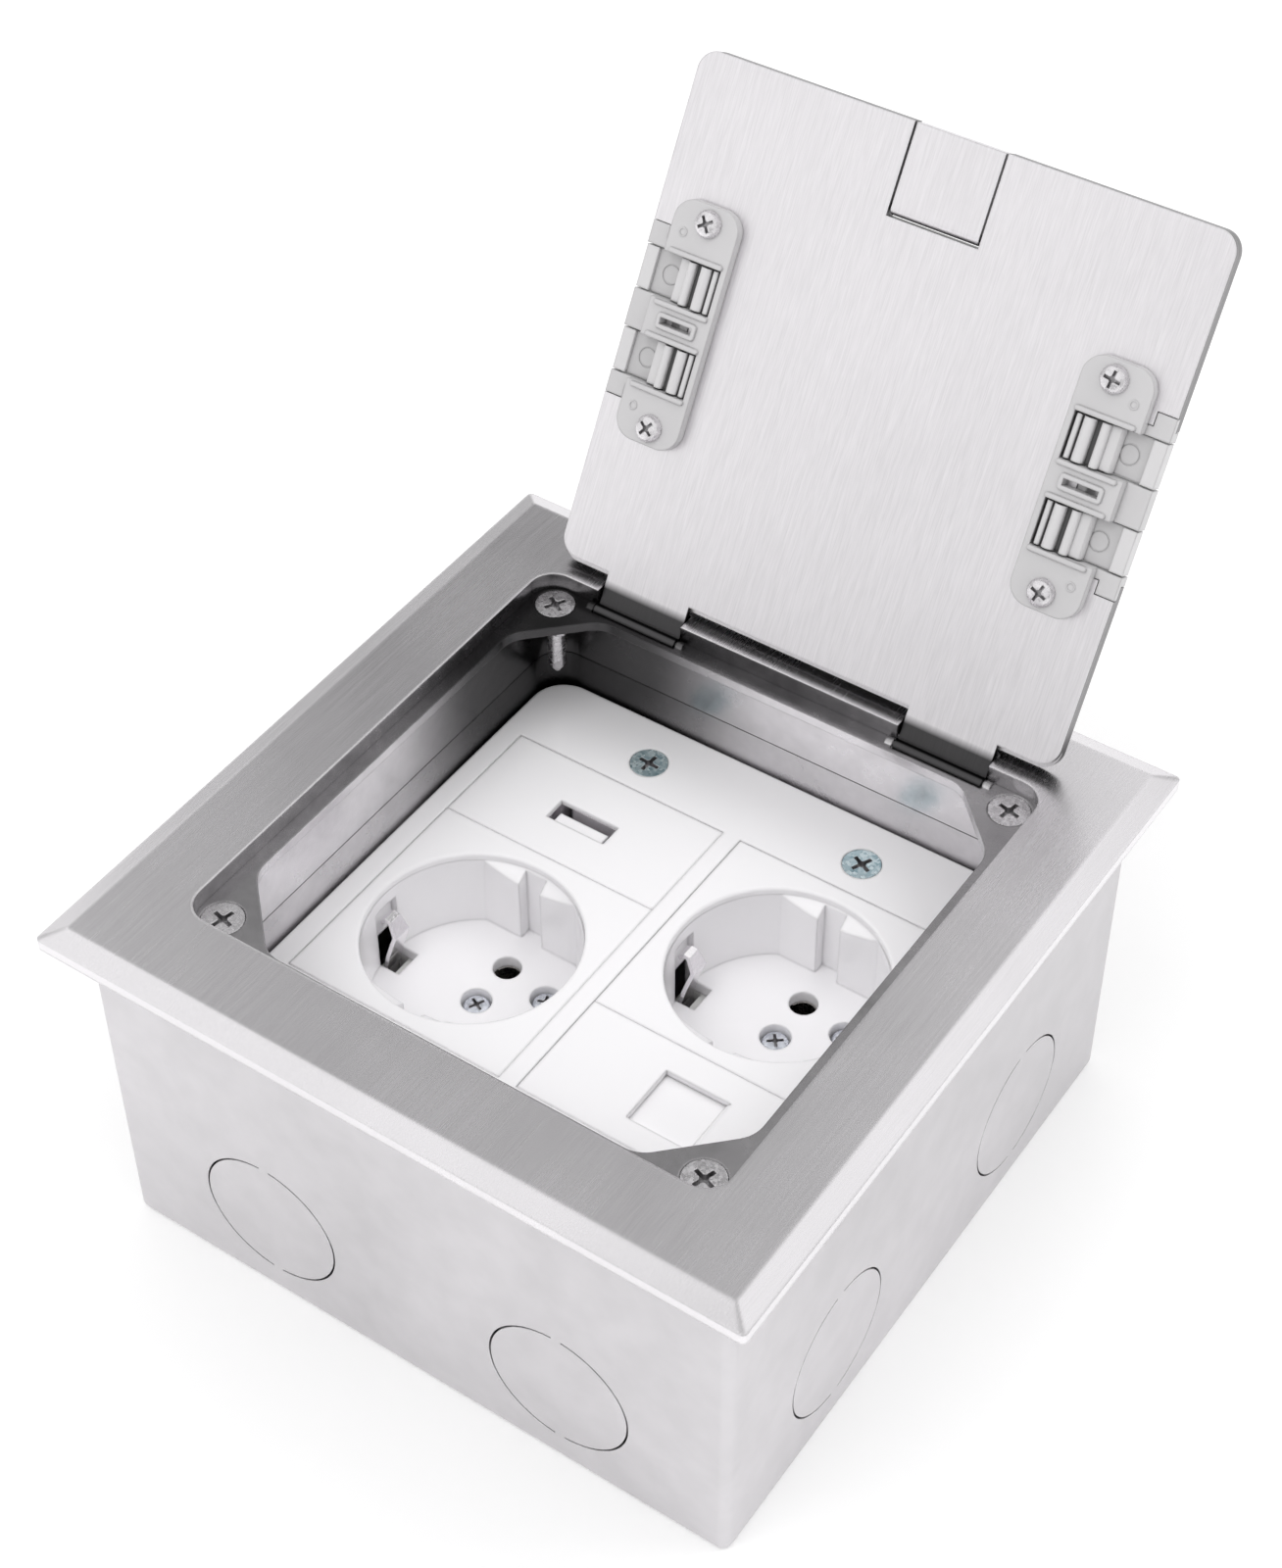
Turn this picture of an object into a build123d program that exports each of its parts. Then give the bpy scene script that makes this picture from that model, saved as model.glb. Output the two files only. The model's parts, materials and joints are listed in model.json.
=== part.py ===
"""Flush floor socket box: steel back box, bevelled frame, hinged lid and a white socket panel.

Millimetres, +Z up, +X right, -Y front. The origin is the centre of the back box's underside.
The model stands with its lid open, leaning back over the +Y edge of the frame.
"""
import math
import os

from build123d import *

os.makedirs("parts", exist_ok=True)

# Frame and back box
frame_overhang = 5.6
frame_rim = 3.9
frame_corner = 1.0
bevel_width = 3.8
bevel_height = 1.7
opening_margin_x = 0.6
opening_margin_y = -0.4
opening_radius = 4.8
side_space = 9.2
wiring_depth = 12.0
sheet = 1.2
bend_radius = 2.0
knockout_radius = 14.2
knockout_slit = 0.4
knockout_web = 2.0
knockout_offset = 30.7
knockout_height = 20.4
fixing_spacing = 80.0
fixing_radius = 2.5

# Tray with the lid ledge
ledge_drop = 3.4
ledge_plate = 2.0
ledge_side = 2.8
ledge_front = 2.3
ledge_back = 3.6
lug_reach = 9.2
lug_fillet = 6.0
well_radius = 6.0
skirt_wall = 1.4
skirt_depth = 13.8
flange_reach = 5.2
flange_radius = 3.0
flange_gap = 0.2
corner_screw_inset_x = 4.9
corner_screw_inset_y = 4.3
corner_head_radius = 3.75
corner_head_height = 1.9
corner_shank_radius = 1.7
corner_screw_length = 16.4
corner_recess = 4.4
lug_margin = 4.2
lug_corner = 1.0
box_lug_plate = 1.6
collar_radius = 2.4
collar_height = 2.3
thread_gap = 0.05
seat_gap = 0.1
head_land = 0.35

# Panel and its carrier
panel_depth = 26.6
panel_margin = 5.0
panel_gap = 0.3
panel_radius = 7.0
panel_edge = 0.8
panel_skin = 3.0
module_flange = 1.5
module_flange_width = 0.9
shelf_plate = 1.4
shelf_under = 1.2
joint_plate = 1.4
joint_shift = 0.4
bracket_screw_radius = 1.25
bracket_head_radius = 1.5
bracket_head_height = 1.0
panel_screw_shift = 1.45
panel_screw_beyond = 7.4
panel_head_radius = 3.6
panel_head_height = 2.2
panel_screw_length = 7.5
panel_recess = 4.2
panel_shank_radius = 1.75

# Modules
module_width = 45.7
mullion = 3.8
socket_length = 46.3
half_length = 23.0
module_gap = 0.1
module_web = 2.85
rim_gap = 0.1
recess_depth = 17.5
cup_wall = 1.7
cup_floor = 2.5
rim_step = 1.4
mouth_edge = 0.5
module_edge = 0.15
guide_rise = 2.8
guide_slope = 2.0
guide_groove = 4.6
pin_offset = 9.5
pin_hole_radius = 2.7
floor_screw_radius = 2.9
floor_head_radius = 2.6
floor_head_height = 1.6
floor_shank_radius = 1.5
floor_screw_length = 8.0
floor_recess = 3.0
second_screw_x = 10.1
second_screw_y = 7.4
base_inset = 1.85
base_depth = 17.4
base_corner = 3.0
contact_radius = 3.6
contact_bore = 2.45
contact_gap = 0.15
contact_length = 14.6
contact_end = 1.2
contact_slit = 1.0
clip_width = 4.4
clip_tip_width = 2.4
clip_tip_drop = 5.0
clip_shoulder_drop = 11.0
clip_thickness = 0.8
clip_slot = 5.8
clip_slot_margin = 0.7
clip_notch_depth = 0.9
clip_notch_top = 4.4
clip_through = 6.1
clip_leg_gap = 0.9
clip_bulge_out = 2.8
clip_tail = 8.0
usb_x = 12.8
usb_y = 4.9
usb_shift = -0.75
usb_sink = 0.9
usb_wall = 0.3
usb_length = 14.0
usb_tongue_x = 10.6
usb_tongue_y = 2.5
usb_tongue_drop = 0.4
usb_housing_x = 36.0
usb_housing_y = 19.0
usb_housing_wall = 1.5
usb_housing_corner = 2.0
usb_plug_block = 3.0
tongue_gap = 0.6
press_gap = 0.02
board_plate = 1.6
board_gap = 0.1
under_board = 6.0
coil_radius = 4.0
coil_x = -9.0
chip_x = 3.0
chip_length = 7.0
chip_width = 6.0
plug_x = 12.0
plug_length = 5.0
plug_width = 9.0
window_size = 12.1
window_shift = 2.2
window_drop = 0.45
window_slope = 1.1
shutter_plate = 1.0
shutter_sink = 1.5
shutter_margin = 0.9
shutter_travel = 12.3
slide_gap = 0.3
jack_x = 14.6
jack_y = 15.8
jack_depth = 20.0
jack_cavity_x = 11.8
jack_cavity_y = 8.2
jack_cavity_depth = 13.0
latch_slot_x = 6.2
latch_slot_y = 1.5
contact_wire = 0.5
contact_pitch = 1.02
contact_rise = 9.0

# Lid
lean_degrees = 29.76
inner_plate = 1.2
top_skin = 1.6
lid_side_gap = 0.8
lid_front_gap = 0.45
lid_seat_gap = 0.3
lid_radius = 3.8
hinge_drop = 7.35
hinge_stand_off = 0.54
hinge_back_gap = 1.0
knuckle_radius = 1.15
pin_radius = 0.6
pin_gap = 0.05
pin_overhang = 1.6
cheek_width = 1.4
slot_behind_hinge = 2.4
tab_inner = 23.4
tab_width = 17.8
running_gap = 0.3
skin_overhang = 0.9

# Cable outlets in the lid, measured from the lid's side edge and its middle
guide_pad_length = 44.9
guide_pad_width = 13.4
guide_pad_inset = 4.7
guide_pad_height = 2.0
guide_pad_radius = 4.0
bead_height = 0.5
bead_width = 0.9
bead_gap = 0.1
rib_border = 0.8
pad_ring_radius = 0.85
pad_ring_width = 0.25
pad_ring_height = 0.12
pad_ring_inset = 7.4
pad_ring_spacing = 32.6
flap_ring_radius = 1.9
flap_ring_inset = 6.2
notch_length = 32.8
notch_depth = 3.8
bay_length = 27.8
bay_depth = 12.9
window_length = 8.5
window_pitch = 15.6
flap_axis_inset = 10.2
flap_barrel = 2.4
flap_axis_height = -0.4
flap_plate = 2.0
flap_rim = 0.7
flap_rim_width = 2.6
flap_web = 0.6
flap_edge_gap = 0.1
trunnion_radius = 0.8
trunnion_length = 1.2
flap_bars = [(0.7, 0.8, 1.1), (3.7, 1.1, 1.1), (5.7, 0.55, 1.15)]
ridge_bay = 16.9
mould_gap = 0.15
rib_slot_length = 6.7
rib_slot_width = 1.3
guide_screw_inset = 12.0
guide_screw_spacing = 38.3
guide_head_radius = 2.5
guide_head_height = 1.6
guide_shank_radius = 1.5
guide_recess = 2.9
guide_screw_cover = 0.6
cover_skin = 0.5

# Lift tab at the lid's free edge
lift_width = 18.2
lift_length = 16.7
lift_side_gap = 0.45
lift_pin_radius = 0.7
lift_pin_reach = 3.2
lift_barrel = 1.35
finger_slot_length = 9.0
finger_slot_width = 2.4
finger_slot_depth = 0.8
finger_slot_inset = 3.4

# Earth terminal on the box floor
terminal_inset = 13.2
terminal_plate_x = 12.0
terminal_plate_y = 10.0
terminal_plate_z = 1.2
terminal_stud_radius = 2.0
terminal_stud = 12.0
terminal_nut_radius = 4.0
terminal_nut = 3.2

# Sizes that follow from the modules, outwards to the frame
well_inner = mullion + 2 * module_width + 2 * panel_margin
tray_flange = well_inner + 2 * flange_reach
opening_x = well_inner + 2 * opening_margin_x
opening_y = well_inner + 2 * opening_margin_y
box_size = well_inner + 2 * (skirt_wall + side_space + sheet)
frame_size = box_size + 2 * frame_overhang
box_height = (wiring_depth + base_depth + cup_floor + recess_depth + panel_depth) - frame_rim

# Levels and positions worked out from the sizes above
top_z = box_height + frame_rim
ledge_z = top_z - ledge_drop
ledge_under = ledge_z - ledge_plate
box_inner = box_size / 2 - sheet
opening_half_x = opening_x / 2
opening_half_y = opening_y / 2
skirt_bottom = ledge_under - skirt_depth
well_half = well_inner / 2
panel_z = top_z - panel_depth
panel_under = panel_z - panel_skin
shelf_top = panel_under - module_flange
shelf_bottom = shelf_top - shelf_plate
flange_half = tray_flange / 2
joint_reach = (well_half + flange_half) / 2 + joint_shift
joint_spots = [(0, joint_reach), (0, -joint_reach), (joint_reach, 0), (-joint_reach, 0)]
screw_x = opening_half_x - corner_screw_inset_x
screw_y = opening_half_y - corner_screw_inset_y
quadrants = [(sx, sy) for sx in (-1, 1) for sy in (-1, 1)]
corners = [(sx * screw_x, sy * screw_y) for sx, sy in quadrants]
rim_radius = module_width / 2 - module_web
recess_radius = rim_radius - rim_gap
guide_flat = recess_radius - guide_rise
base_size = module_width - 2 * base_inset
clip_leg = recess_radius - clip_leg_gap
clip_bulge = clip_leg - clip_bulge_out
clip_slot_inner = clip_bulge - clip_slot_margin
column_x = (mullion + module_width) / 2
column_length = socket_length + module_gap + half_length
panel_screw_x = column_x - panel_screw_shift
panel_screw_y = column_length / 2 + panel_screw_beyond
socket_y = -column_length / 2 + socket_length / 2
half_y = column_length / 2 - half_length / 2
recess_floor = panel_z - recess_depth
cup_under = recess_floor - cup_floor
base_bottom = cup_under - base_depth
terminal_x = box_inner - terminal_inset
terminal_y = -terminal_x

# The hinge axis, and the lid's plane with its own x, s (up the lid) and h (towards the viewer)
hinge_y = opening_half_y - hinge_back_gap
hinge_z = ledge_z + lid_seat_gap - hinge_stand_off
lean = math.radians(lean_degrees)
up_lid = Vector(0, math.sin(lean), math.cos(lean))
off_lid = Vector(0, -math.cos(lean), math.sin(lean))
lid_origin = Vector(0, hinge_y, hinge_z) + up_lid * hinge_drop - off_lid * hinge_stand_off
lid_plane = Plane(origin=lid_origin, x_dir=(1, 0, 0), z_dir=off_lid)
lid_half = opening_half_x - lid_side_gap
lid_length = hinge_y - hinge_drop + opening_half_y - lid_front_gap
lid_mid = lid_length / 2
lid_thickness = inner_plate + top_skin
side_plane = Plane(origin=lid_origin, x_dir=up_lid, z_dir=(1, 0, 0))
flap_axis = lid_half - flap_axis_inset
window_middles = (lid_mid - window_pitch / 2, lid_mid + window_pitch / 2)
lift_pin_s = lid_length - lift_length + running_gap + lift_barrel
lift_pin_h = -lid_thickness / 2
tab_middles = (-tab_inner - tab_width / 2, tab_inner + tab_width / 2)
guide_screw_x = lid_half - guide_screw_inset
guide_spots = [(sx * guide_screw_x, lid_mid + sy * guide_screw_spacing / 2) for sx, sy in quadrants]


def lid_spot(x, s, h):
    """A place on the lid: x across, s up from its lower edge, h out of its inner face."""
    return lid_plane.location * Location((x, s, h))


def export(piece, name):
    """Label a finished piece and write it as its own file."""
    piece.label = name
    export_step(piece, f"parts/{name}.step")


def screw(head_radius, head_height, shank_radius, length, sunk, recess):
    """A cross-recess screw along -Z, its bearing face (or its flush top, if sunk) at the origin."""
    with BuildPart() as blank:
        with BuildSketch(Plane.XZ):
            with BuildLine():
                if sunk:
                    Polyline((0, 0), (head_radius, 0), (head_radius, -head_land),
                             (shank_radius, -head_height), (shank_radius, shank_radius - length),
                             (shank_radius * 0.4, -length), (0, -length), close=True)
                else:
                    Polyline((0, head_height), (head_radius * 0.6, head_height),
                             (head_radius, head_height * 0.45), (head_radius, 0),
                             (shank_radius, 0), (shank_radius, shank_radius * 0.5 - length),
                             (shank_radius * 0.5, -length), (0, -length), close=True)
            make_face()
        revolve(axis=Axis.Z)
        crown = 0 if sunk else head_height
        with BuildSketch(Plane.XY.offset(crown)):
            Rectangle(recess, recess * 0.24)
            Rectangle(recess * 0.24, recess)
            Circle(recess * 0.2)
        extrude(amount=-recess * 0.36, mode=Mode.SUBTRACT)
    return blank.part


def screw_seat(head_radius, head_height, shank_radius, depth):
    """The hole a sunk screw drops into, its mouth at the origin, with a fitting gap all round."""
    with BuildPart() as seat:
        with BuildSketch(Plane.XZ):
            with BuildLine():
                mouth = head_radius + seat_gap
                bore = shank_radius + seat_gap
                Polyline((0, 1), (mouth, 1), (mouth, -head_land), (bore, -head_height),
                         (bore, -depth - 1), (0, -depth - 1), close=True)
            make_face()
        revolve(axis=Axis.Z)
    return seat.part


def corner_polygon(reach_x, reach_front, reach_back, line):
    """Corner points of a rectangle whose corners are cut along |x| + |y| = line."""
    side = line - reach_x
    return [(-reach_x, -side), (reach_front - line, -reach_front), (line - reach_front, -reach_front),
            (reach_x, -side), (reach_x, side), (line - reach_back, reach_back),
            (reach_back - line, reach_back), (-reach_x, side)]


# Folded steel back box with its knockouts and fixing holes
with BuildPart() as back_box:
    with BuildSketch():
        RectangleRounded(box_size, box_size, bend_radius)
    extrude(amount=box_height)
    fillet(back_box.faces().sort_by(Axis.Z)[0].edges(), bend_radius * 0.6)
    with BuildSketch(Plane.XY.offset(sheet)):
        RectangleRounded(2 * box_inner, 2 * box_inner, bend_radius - sheet)
    extrude(amount=box_height, mode=Mode.SUBTRACT)
    for wall in (Plane.XZ, Plane.YZ):
        with BuildSketch(wall):
            with Locations((-knockout_offset, knockout_height), (knockout_offset, knockout_height)):
                Circle(knockout_radius)
                Circle(knockout_radius - knockout_slit, mode=Mode.SUBTRACT)
                Rectangle(knockout_web, knockout_radius * 2.2, mode=Mode.SUBTRACT)
        extrude(amount=box_size, both=True, mode=Mode.SUBTRACT)
    with GridLocations(fixing_spacing, fixing_spacing, 2, 2):
        Hole(fixing_radius)
export(back_box.part, "back_box")

# Corner lugs in the box, each with a collar that the corner screw threads into
lug_x = screw_x - lug_margin
lug_y = screw_y - lug_margin
with BuildPart() as box_lugs:
    for sx, sy in quadrants:
        with BuildSketch(Plane.XY.offset(ledge_under - box_lug_plate)) as lug:
            with Locations((sx * (lug_x + box_inner) / 2, sy * (lug_y + box_inner) / 2)):
                Rectangle(box_inner - lug_x, box_inner - lug_y)
            chamfer(lug.vertices(), lug_corner)
        extrude(amount=box_lug_plate)
    with BuildSketch(Plane.XY.offset(ledge_under - box_lug_plate)):
        with Locations(*corners):
            Circle(collar_radius)
    extrude(amount=-collar_height)
    with BuildSketch(Plane.XY.offset(ledge_under)):
        with Locations(*corners):
            Circle(corner_shank_radius + thread_gap)
    extrude(amount=-box_lug_plate - collar_height, mode=Mode.SUBTRACT)
export(box_lugs.part, "box_lugs")

# Brass earth stud with its clamp washer and nut on the box floor
with BuildPart() as earth_terminal:
    with Locations((terminal_x, terminal_y, sheet)):
        Box(terminal_plate_x, terminal_plate_y, terminal_plate_z,
            align=(Align.CENTER, Align.CENTER, Align.MIN))
        Cylinder(terminal_stud_radius, terminal_stud, align=(Align.CENTER, Align.CENTER, Align.MIN))
    with BuildSketch(Plane.XY.offset(sheet + terminal_plate_z)):
        with Locations((terminal_x, terminal_y)):
            RegularPolygon(terminal_nut_radius, 6)
    extrude(amount=terminal_nut)
export(earth_terminal.part, "earth_terminal")

# Bevelled frame plate: a flat top, a sloped border and a step underneath for the tray flange
bevel_angle = math.degrees(math.atan2(bevel_width, bevel_height))
tab_back = lid_origin.Y + (top_z - lid_origin.Z) * math.tan(lean) + inner_plate / math.cos(lean)
relief_depth = tab_back + 2 * running_gap - opening_half_y
with BuildPart() as frame_plate:
    with BuildSketch(Plane.XY.offset(box_height)):
        Rectangle(frame_size, frame_size)
    extrude(amount=frame_rim - bevel_height)
    with BuildSketch(Plane.XY.offset(top_z - bevel_height)):
        Rectangle(frame_size, frame_size)
    extrude(amount=bevel_height, taper=bevel_angle)
    fillet(frame_plate.edges().filter_by(Axis.Z), frame_corner)
    with BuildSketch(Plane.XY.offset(box_height)):
        RectangleRounded(opening_x, opening_y, opening_radius)
    extrude(amount=frame_rim, mode=Mode.SUBTRACT)
    with BuildSketch(Plane.XY.offset(box_height)):
        RectangleRounded(tray_flange + 2 * flange_gap, tray_flange + 2 * flange_gap, flange_radius)
    extrude(amount=ledge_z - box_height, mode=Mode.SUBTRACT)
    for tab_x in tab_middles:
        with BuildSketch(Plane.XY.offset(box_height)):
            with Locations((tab_x, opening_half_y + relief_depth / 2 - 1)):
                Rectangle(tab_width + 2 * running_gap, relief_depth + 2)
        extrude(amount=frame_rim, mode=Mode.SUBTRACT)
export(frame_plate.part, "frame_plate")

# Cast tray: lid ledge with triangular lugs, upper skirt, joint flange, hinge slots and cheeks
ledge_outline = corner_polygon(opening_half_x - ledge_side, opening_half_y - ledge_front,
                               opening_half_y - ledge_back, screw_x + screw_y - lug_reach)
slot_front = hinge_y - knuckle_radius - running_gap
slot_back = hinge_y + slot_behind_hinge
cheek_half = hinge_back_gap - pin_gap
corner_seat = screw_seat(corner_head_radius, corner_head_height, corner_shank_radius, ledge_plate)
with BuildPart() as cast_tray:
    with BuildSketch(Plane.XY.offset(ledge_under)):
        RectangleRounded(tray_flange, tray_flange, flange_radius)
    extrude(amount=ledge_plate)
    with BuildSketch(Plane.XY.offset(skirt_bottom)):
        outer = well_inner + 2 * skirt_wall
        RectangleRounded(outer, outer, well_radius + skirt_wall)
    extrude(amount=skirt_depth)
    with BuildSketch(Plane.XY.offset(skirt_bottom)):
        RectangleRounded(tray_flange, tray_flange, flange_radius)
    extrude(amount=joint_plate)
    with BuildSketch(Plane.XY.offset(skirt_bottom)):
        RectangleRounded(well_inner, well_inner, well_radius)
    extrude(amount=skirt_depth, mode=Mode.SUBTRACT)
    with BuildSketch(Plane.XY.offset(ledge_under)) as ledge_hole:
        with BuildLine():
            Polyline(*ledge_outline, close=True)
        make_face()
        fillet(ledge_hole.vertices(), lug_fillet)
    extrude(amount=ledge_plate, mode=Mode.SUBTRACT)
    for sx, sy in quadrants:
        with BuildSketch(Plane.XY.offset(ledge_under)):
            with Locations((sx * (lug_x + box_inner) / 2, sy * (lug_y + box_inner) / 2)):
                Rectangle(box_inner - lug_x + 2 * flange_gap, box_inner - lug_y + 2 * flange_gap)
        extrude(amount=-box_lug_plate - flange_gap, mode=Mode.SUBTRACT)
    with Locations(*[(x, y, ledge_z) for x, y in corners]):
        add(corner_seat, mode=Mode.SUBTRACT)
    for tab_x in tab_middles:
        with BuildSketch(Plane.XY.offset(ledge_under)):
            with Locations((tab_x, (slot_front + slot_back) / 2)):
                Rectangle(tab_width + 2 * running_gap, slot_back - slot_front)
        extrude(amount=ledge_plate, mode=Mode.SUBTRACT)
        for side in (-1, 1):
            cheek_x = tab_x + side * (tab_width / 2 + running_gap + cheek_width / 2)
            with BuildSketch(Plane.YZ.offset(cheek_x)):
                with Locations((hinge_y, hinge_z)):
                    Circle(cheek_half)
                with Locations((hinge_y, (hinge_z + ledge_under) / 2)):
                    Rectangle(2 * cheek_half, hinge_z - ledge_under)
            extrude(amount=cheek_width / 2, both=True)
        with BuildSketch(Plane.YZ.offset(tab_x)):
            with Locations((hinge_y, hinge_z)):
                Circle(pin_radius)
        extrude(amount=tab_width / 2 + pin_overhang, both=True, mode=Mode.SUBTRACT)
    with Locations(*[(x, y, skirt_bottom) for x, y in joint_spots]):
        Cylinder(bracket_screw_radius + thread_gap, 4 * joint_plate, mode=Mode.SUBTRACT)
export(cast_tray.part, "cast_tray")

# Four countersunk corner screws
corner_screw = screw(corner_head_radius, corner_head_height, corner_shank_radius,
                     corner_screw_length, True, corner_recess)
with BuildPart() as corner_screws:
    with Locations(*[(x, y, ledge_z - thread_gap) for x, y in corners]):
        add(corner_screw)
export(corner_screws.part, "corner_screws")

# Two hinge pins, held in the tray's cheeks
with BuildPart() as hinge_pins:
    for tab_x in tab_middles:
        with BuildSketch(Plane.YZ.offset(tab_x)):
            with Locations((hinge_y, hinge_z)):
                Circle(pin_radius)
        extrude(amount=tab_width / 2 + pin_overhang, both=True)
export(hinge_pins.part, "hinge_pins")

# Panel bracket: the lower liner, its joint flange and the shelf under the panel
with BuildPart() as panel_bracket:
    outer = well_inner + 2 * skirt_wall
    with BuildSketch(Plane.XY.offset(shelf_bottom)):
        RectangleRounded(outer, outer, well_radius + skirt_wall)
    extrude(amount=skirt_bottom - shelf_bottom)
    with BuildSketch(Plane.XY.offset(skirt_bottom)):
        RectangleRounded(tray_flange, tray_flange, flange_radius)
    extrude(amount=-joint_plate)
    with BuildSketch(Plane.XY.offset(shelf_top)):
        RectangleRounded(well_inner, well_inner, well_radius)
    extrude(amount=skirt_bottom - shelf_top, mode=Mode.SUBTRACT)
    with BuildSketch(Plane.XY.offset(shelf_bottom)):
        Rectangle(mullion + 2 * module_width - 2 * shelf_under, column_length - 2 * shelf_under)
    extrude(amount=shelf_plate, mode=Mode.SUBTRACT)
    with BuildSketch(Plane.XY.offset(shelf_bottom)):
        with GridLocations(2 * panel_screw_x, 2 * panel_screw_y, 2, 2):
            Circle(panel_shank_radius + thread_gap)
    extrude(amount=shelf_plate, mode=Mode.SUBTRACT)
    with Locations(*[(x, y, skirt_bottom) for x, y in joint_spots]):
        Cylinder(bracket_screw_radius + thread_gap, 4 * joint_plate, mode=Mode.SUBTRACT)
export(panel_bracket.part, "panel_bracket")

# Four small screws through the two joint flanges, heads underneath
with BuildPart() as bracket_screws:
    with Locations(*[(x, y, skirt_bottom - joint_plate) for x, y in joint_spots]):
        Cylinder(bracket_head_radius, bracket_head_height,
                 align=(Align.CENTER, Align.CENTER, Align.MAX))
        Cylinder(bracket_screw_radius, 2 * joint_plate + 1,
                 align=(Align.CENTER, Align.CENTER, Align.MIN))
export(bracket_screws.part, "bracket_screws")

# White moulded panel with two module columns
panel_size = well_inner - 2 * panel_gap
panel_spots = [(sx * panel_screw_x, sy * panel_screw_y) for sx, sy in quadrants]
panel_seat = screw_seat(panel_head_radius, panel_head_height, panel_shank_radius,
                        panel_z - shelf_top)
with BuildPart() as socket_panel:
    with BuildSketch(Plane.XY.offset(shelf_top)):
        RectangleRounded(panel_size, panel_size, panel_radius)
    extrude(amount=panel_z - shelf_top)
    top_rim = socket_panel.faces().sort_by(Axis.Z)[-1].edges()
    fillet(top_rim, panel_edge)
    with BuildSketch(Plane.XY.offset(shelf_top)):
        Rectangle(2 * (mullion / 2 + module_width + module_flange_width + panel_gap),
                  column_length + 2 * (module_flange_width + panel_gap))
    extrude(amount=module_flange, mode=Mode.SUBTRACT)
    with BuildSketch(Plane.XY.offset(panel_under)):
        with Locations((-column_x, 0), (column_x, 0)):
            Rectangle(module_width + 2 * module_gap, column_length + 2 * module_gap)
    extrude(amount=panel_skin, mode=Mode.SUBTRACT)
    with Locations(*[(x, y, panel_z) for x, y in panel_spots]):
        add(panel_seat, mode=Mode.SUBTRACT)
export(socket_panel.part, "socket_panel")

# Panel screws
panel_screw = screw(panel_head_radius, panel_head_height, panel_shank_radius,
                    panel_screw_length, True, panel_recess)
with BuildPart() as panel_screws:
    with Locations(*[(x, y, panel_z - thread_gap) for x, y in panel_spots]):
        add(panel_screw)
export(panel_screws.part, "panel_screws")


def module_plate(middle_x, middle_y, length, outward):
    """The face of one module with the flange behind it; outward is the column end it touches."""
    flange_length = length + module_flange_width
    with BuildPart() as plate:
        with BuildSketch(Plane.XY.offset(panel_under)):
            with Locations((middle_x, middle_y)):
                Rectangle(module_width, length)
        extrude(amount=panel_skin)
        with BuildSketch(Plane.XY.offset(shelf_top)):
            with Locations((middle_x, middle_y + outward * module_flange_width / 2)):
                Rectangle(module_width + 2 * module_flange_width, flange_length)
        extrude(amount=module_flange)
        rim = plate.faces().sort_by(Axis.Z)[-1].edges()
        chamfer(rim, module_edge)
    return plate.part


# Earth clip outline: distance from the well's middle, height from the panel's face
clip_profile = [(clip_leg + 1.1, -6.9), (clip_leg - 0.1, -5.9), (clip_bulge + 1.4, -6.2),
                (clip_bulge, -9.5), (clip_leg - 1.0, -15.3), (clip_leg, -19.5),
                (clip_leg, cup_under - clip_tail - panel_z)]

clip_outline = [(-clip_width / 2, cup_under - base_depth - panel_z),
                (clip_width / 2, cup_under - base_depth - panel_z),
                (clip_width / 2, -clip_shoulder_drop), (clip_tip_width / 2, -clip_tip_drop),
                (-clip_tip_width / 2, -clip_tip_drop), (-clip_width / 2, -clip_shoulder_drop)]

# Clip cuts in the well: how far out they reach, where they start and how high they go
clip_cuts = [(recess_radius + clip_notch_depth, recess_floor, recess_depth - clip_notch_top),
             (recess_radius + 2 * cup_wall, cup_under, cup_floor + clip_through)]
slope_angle = math.degrees(math.atan2(recess_radius - guide_flat, guide_slope))

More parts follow.
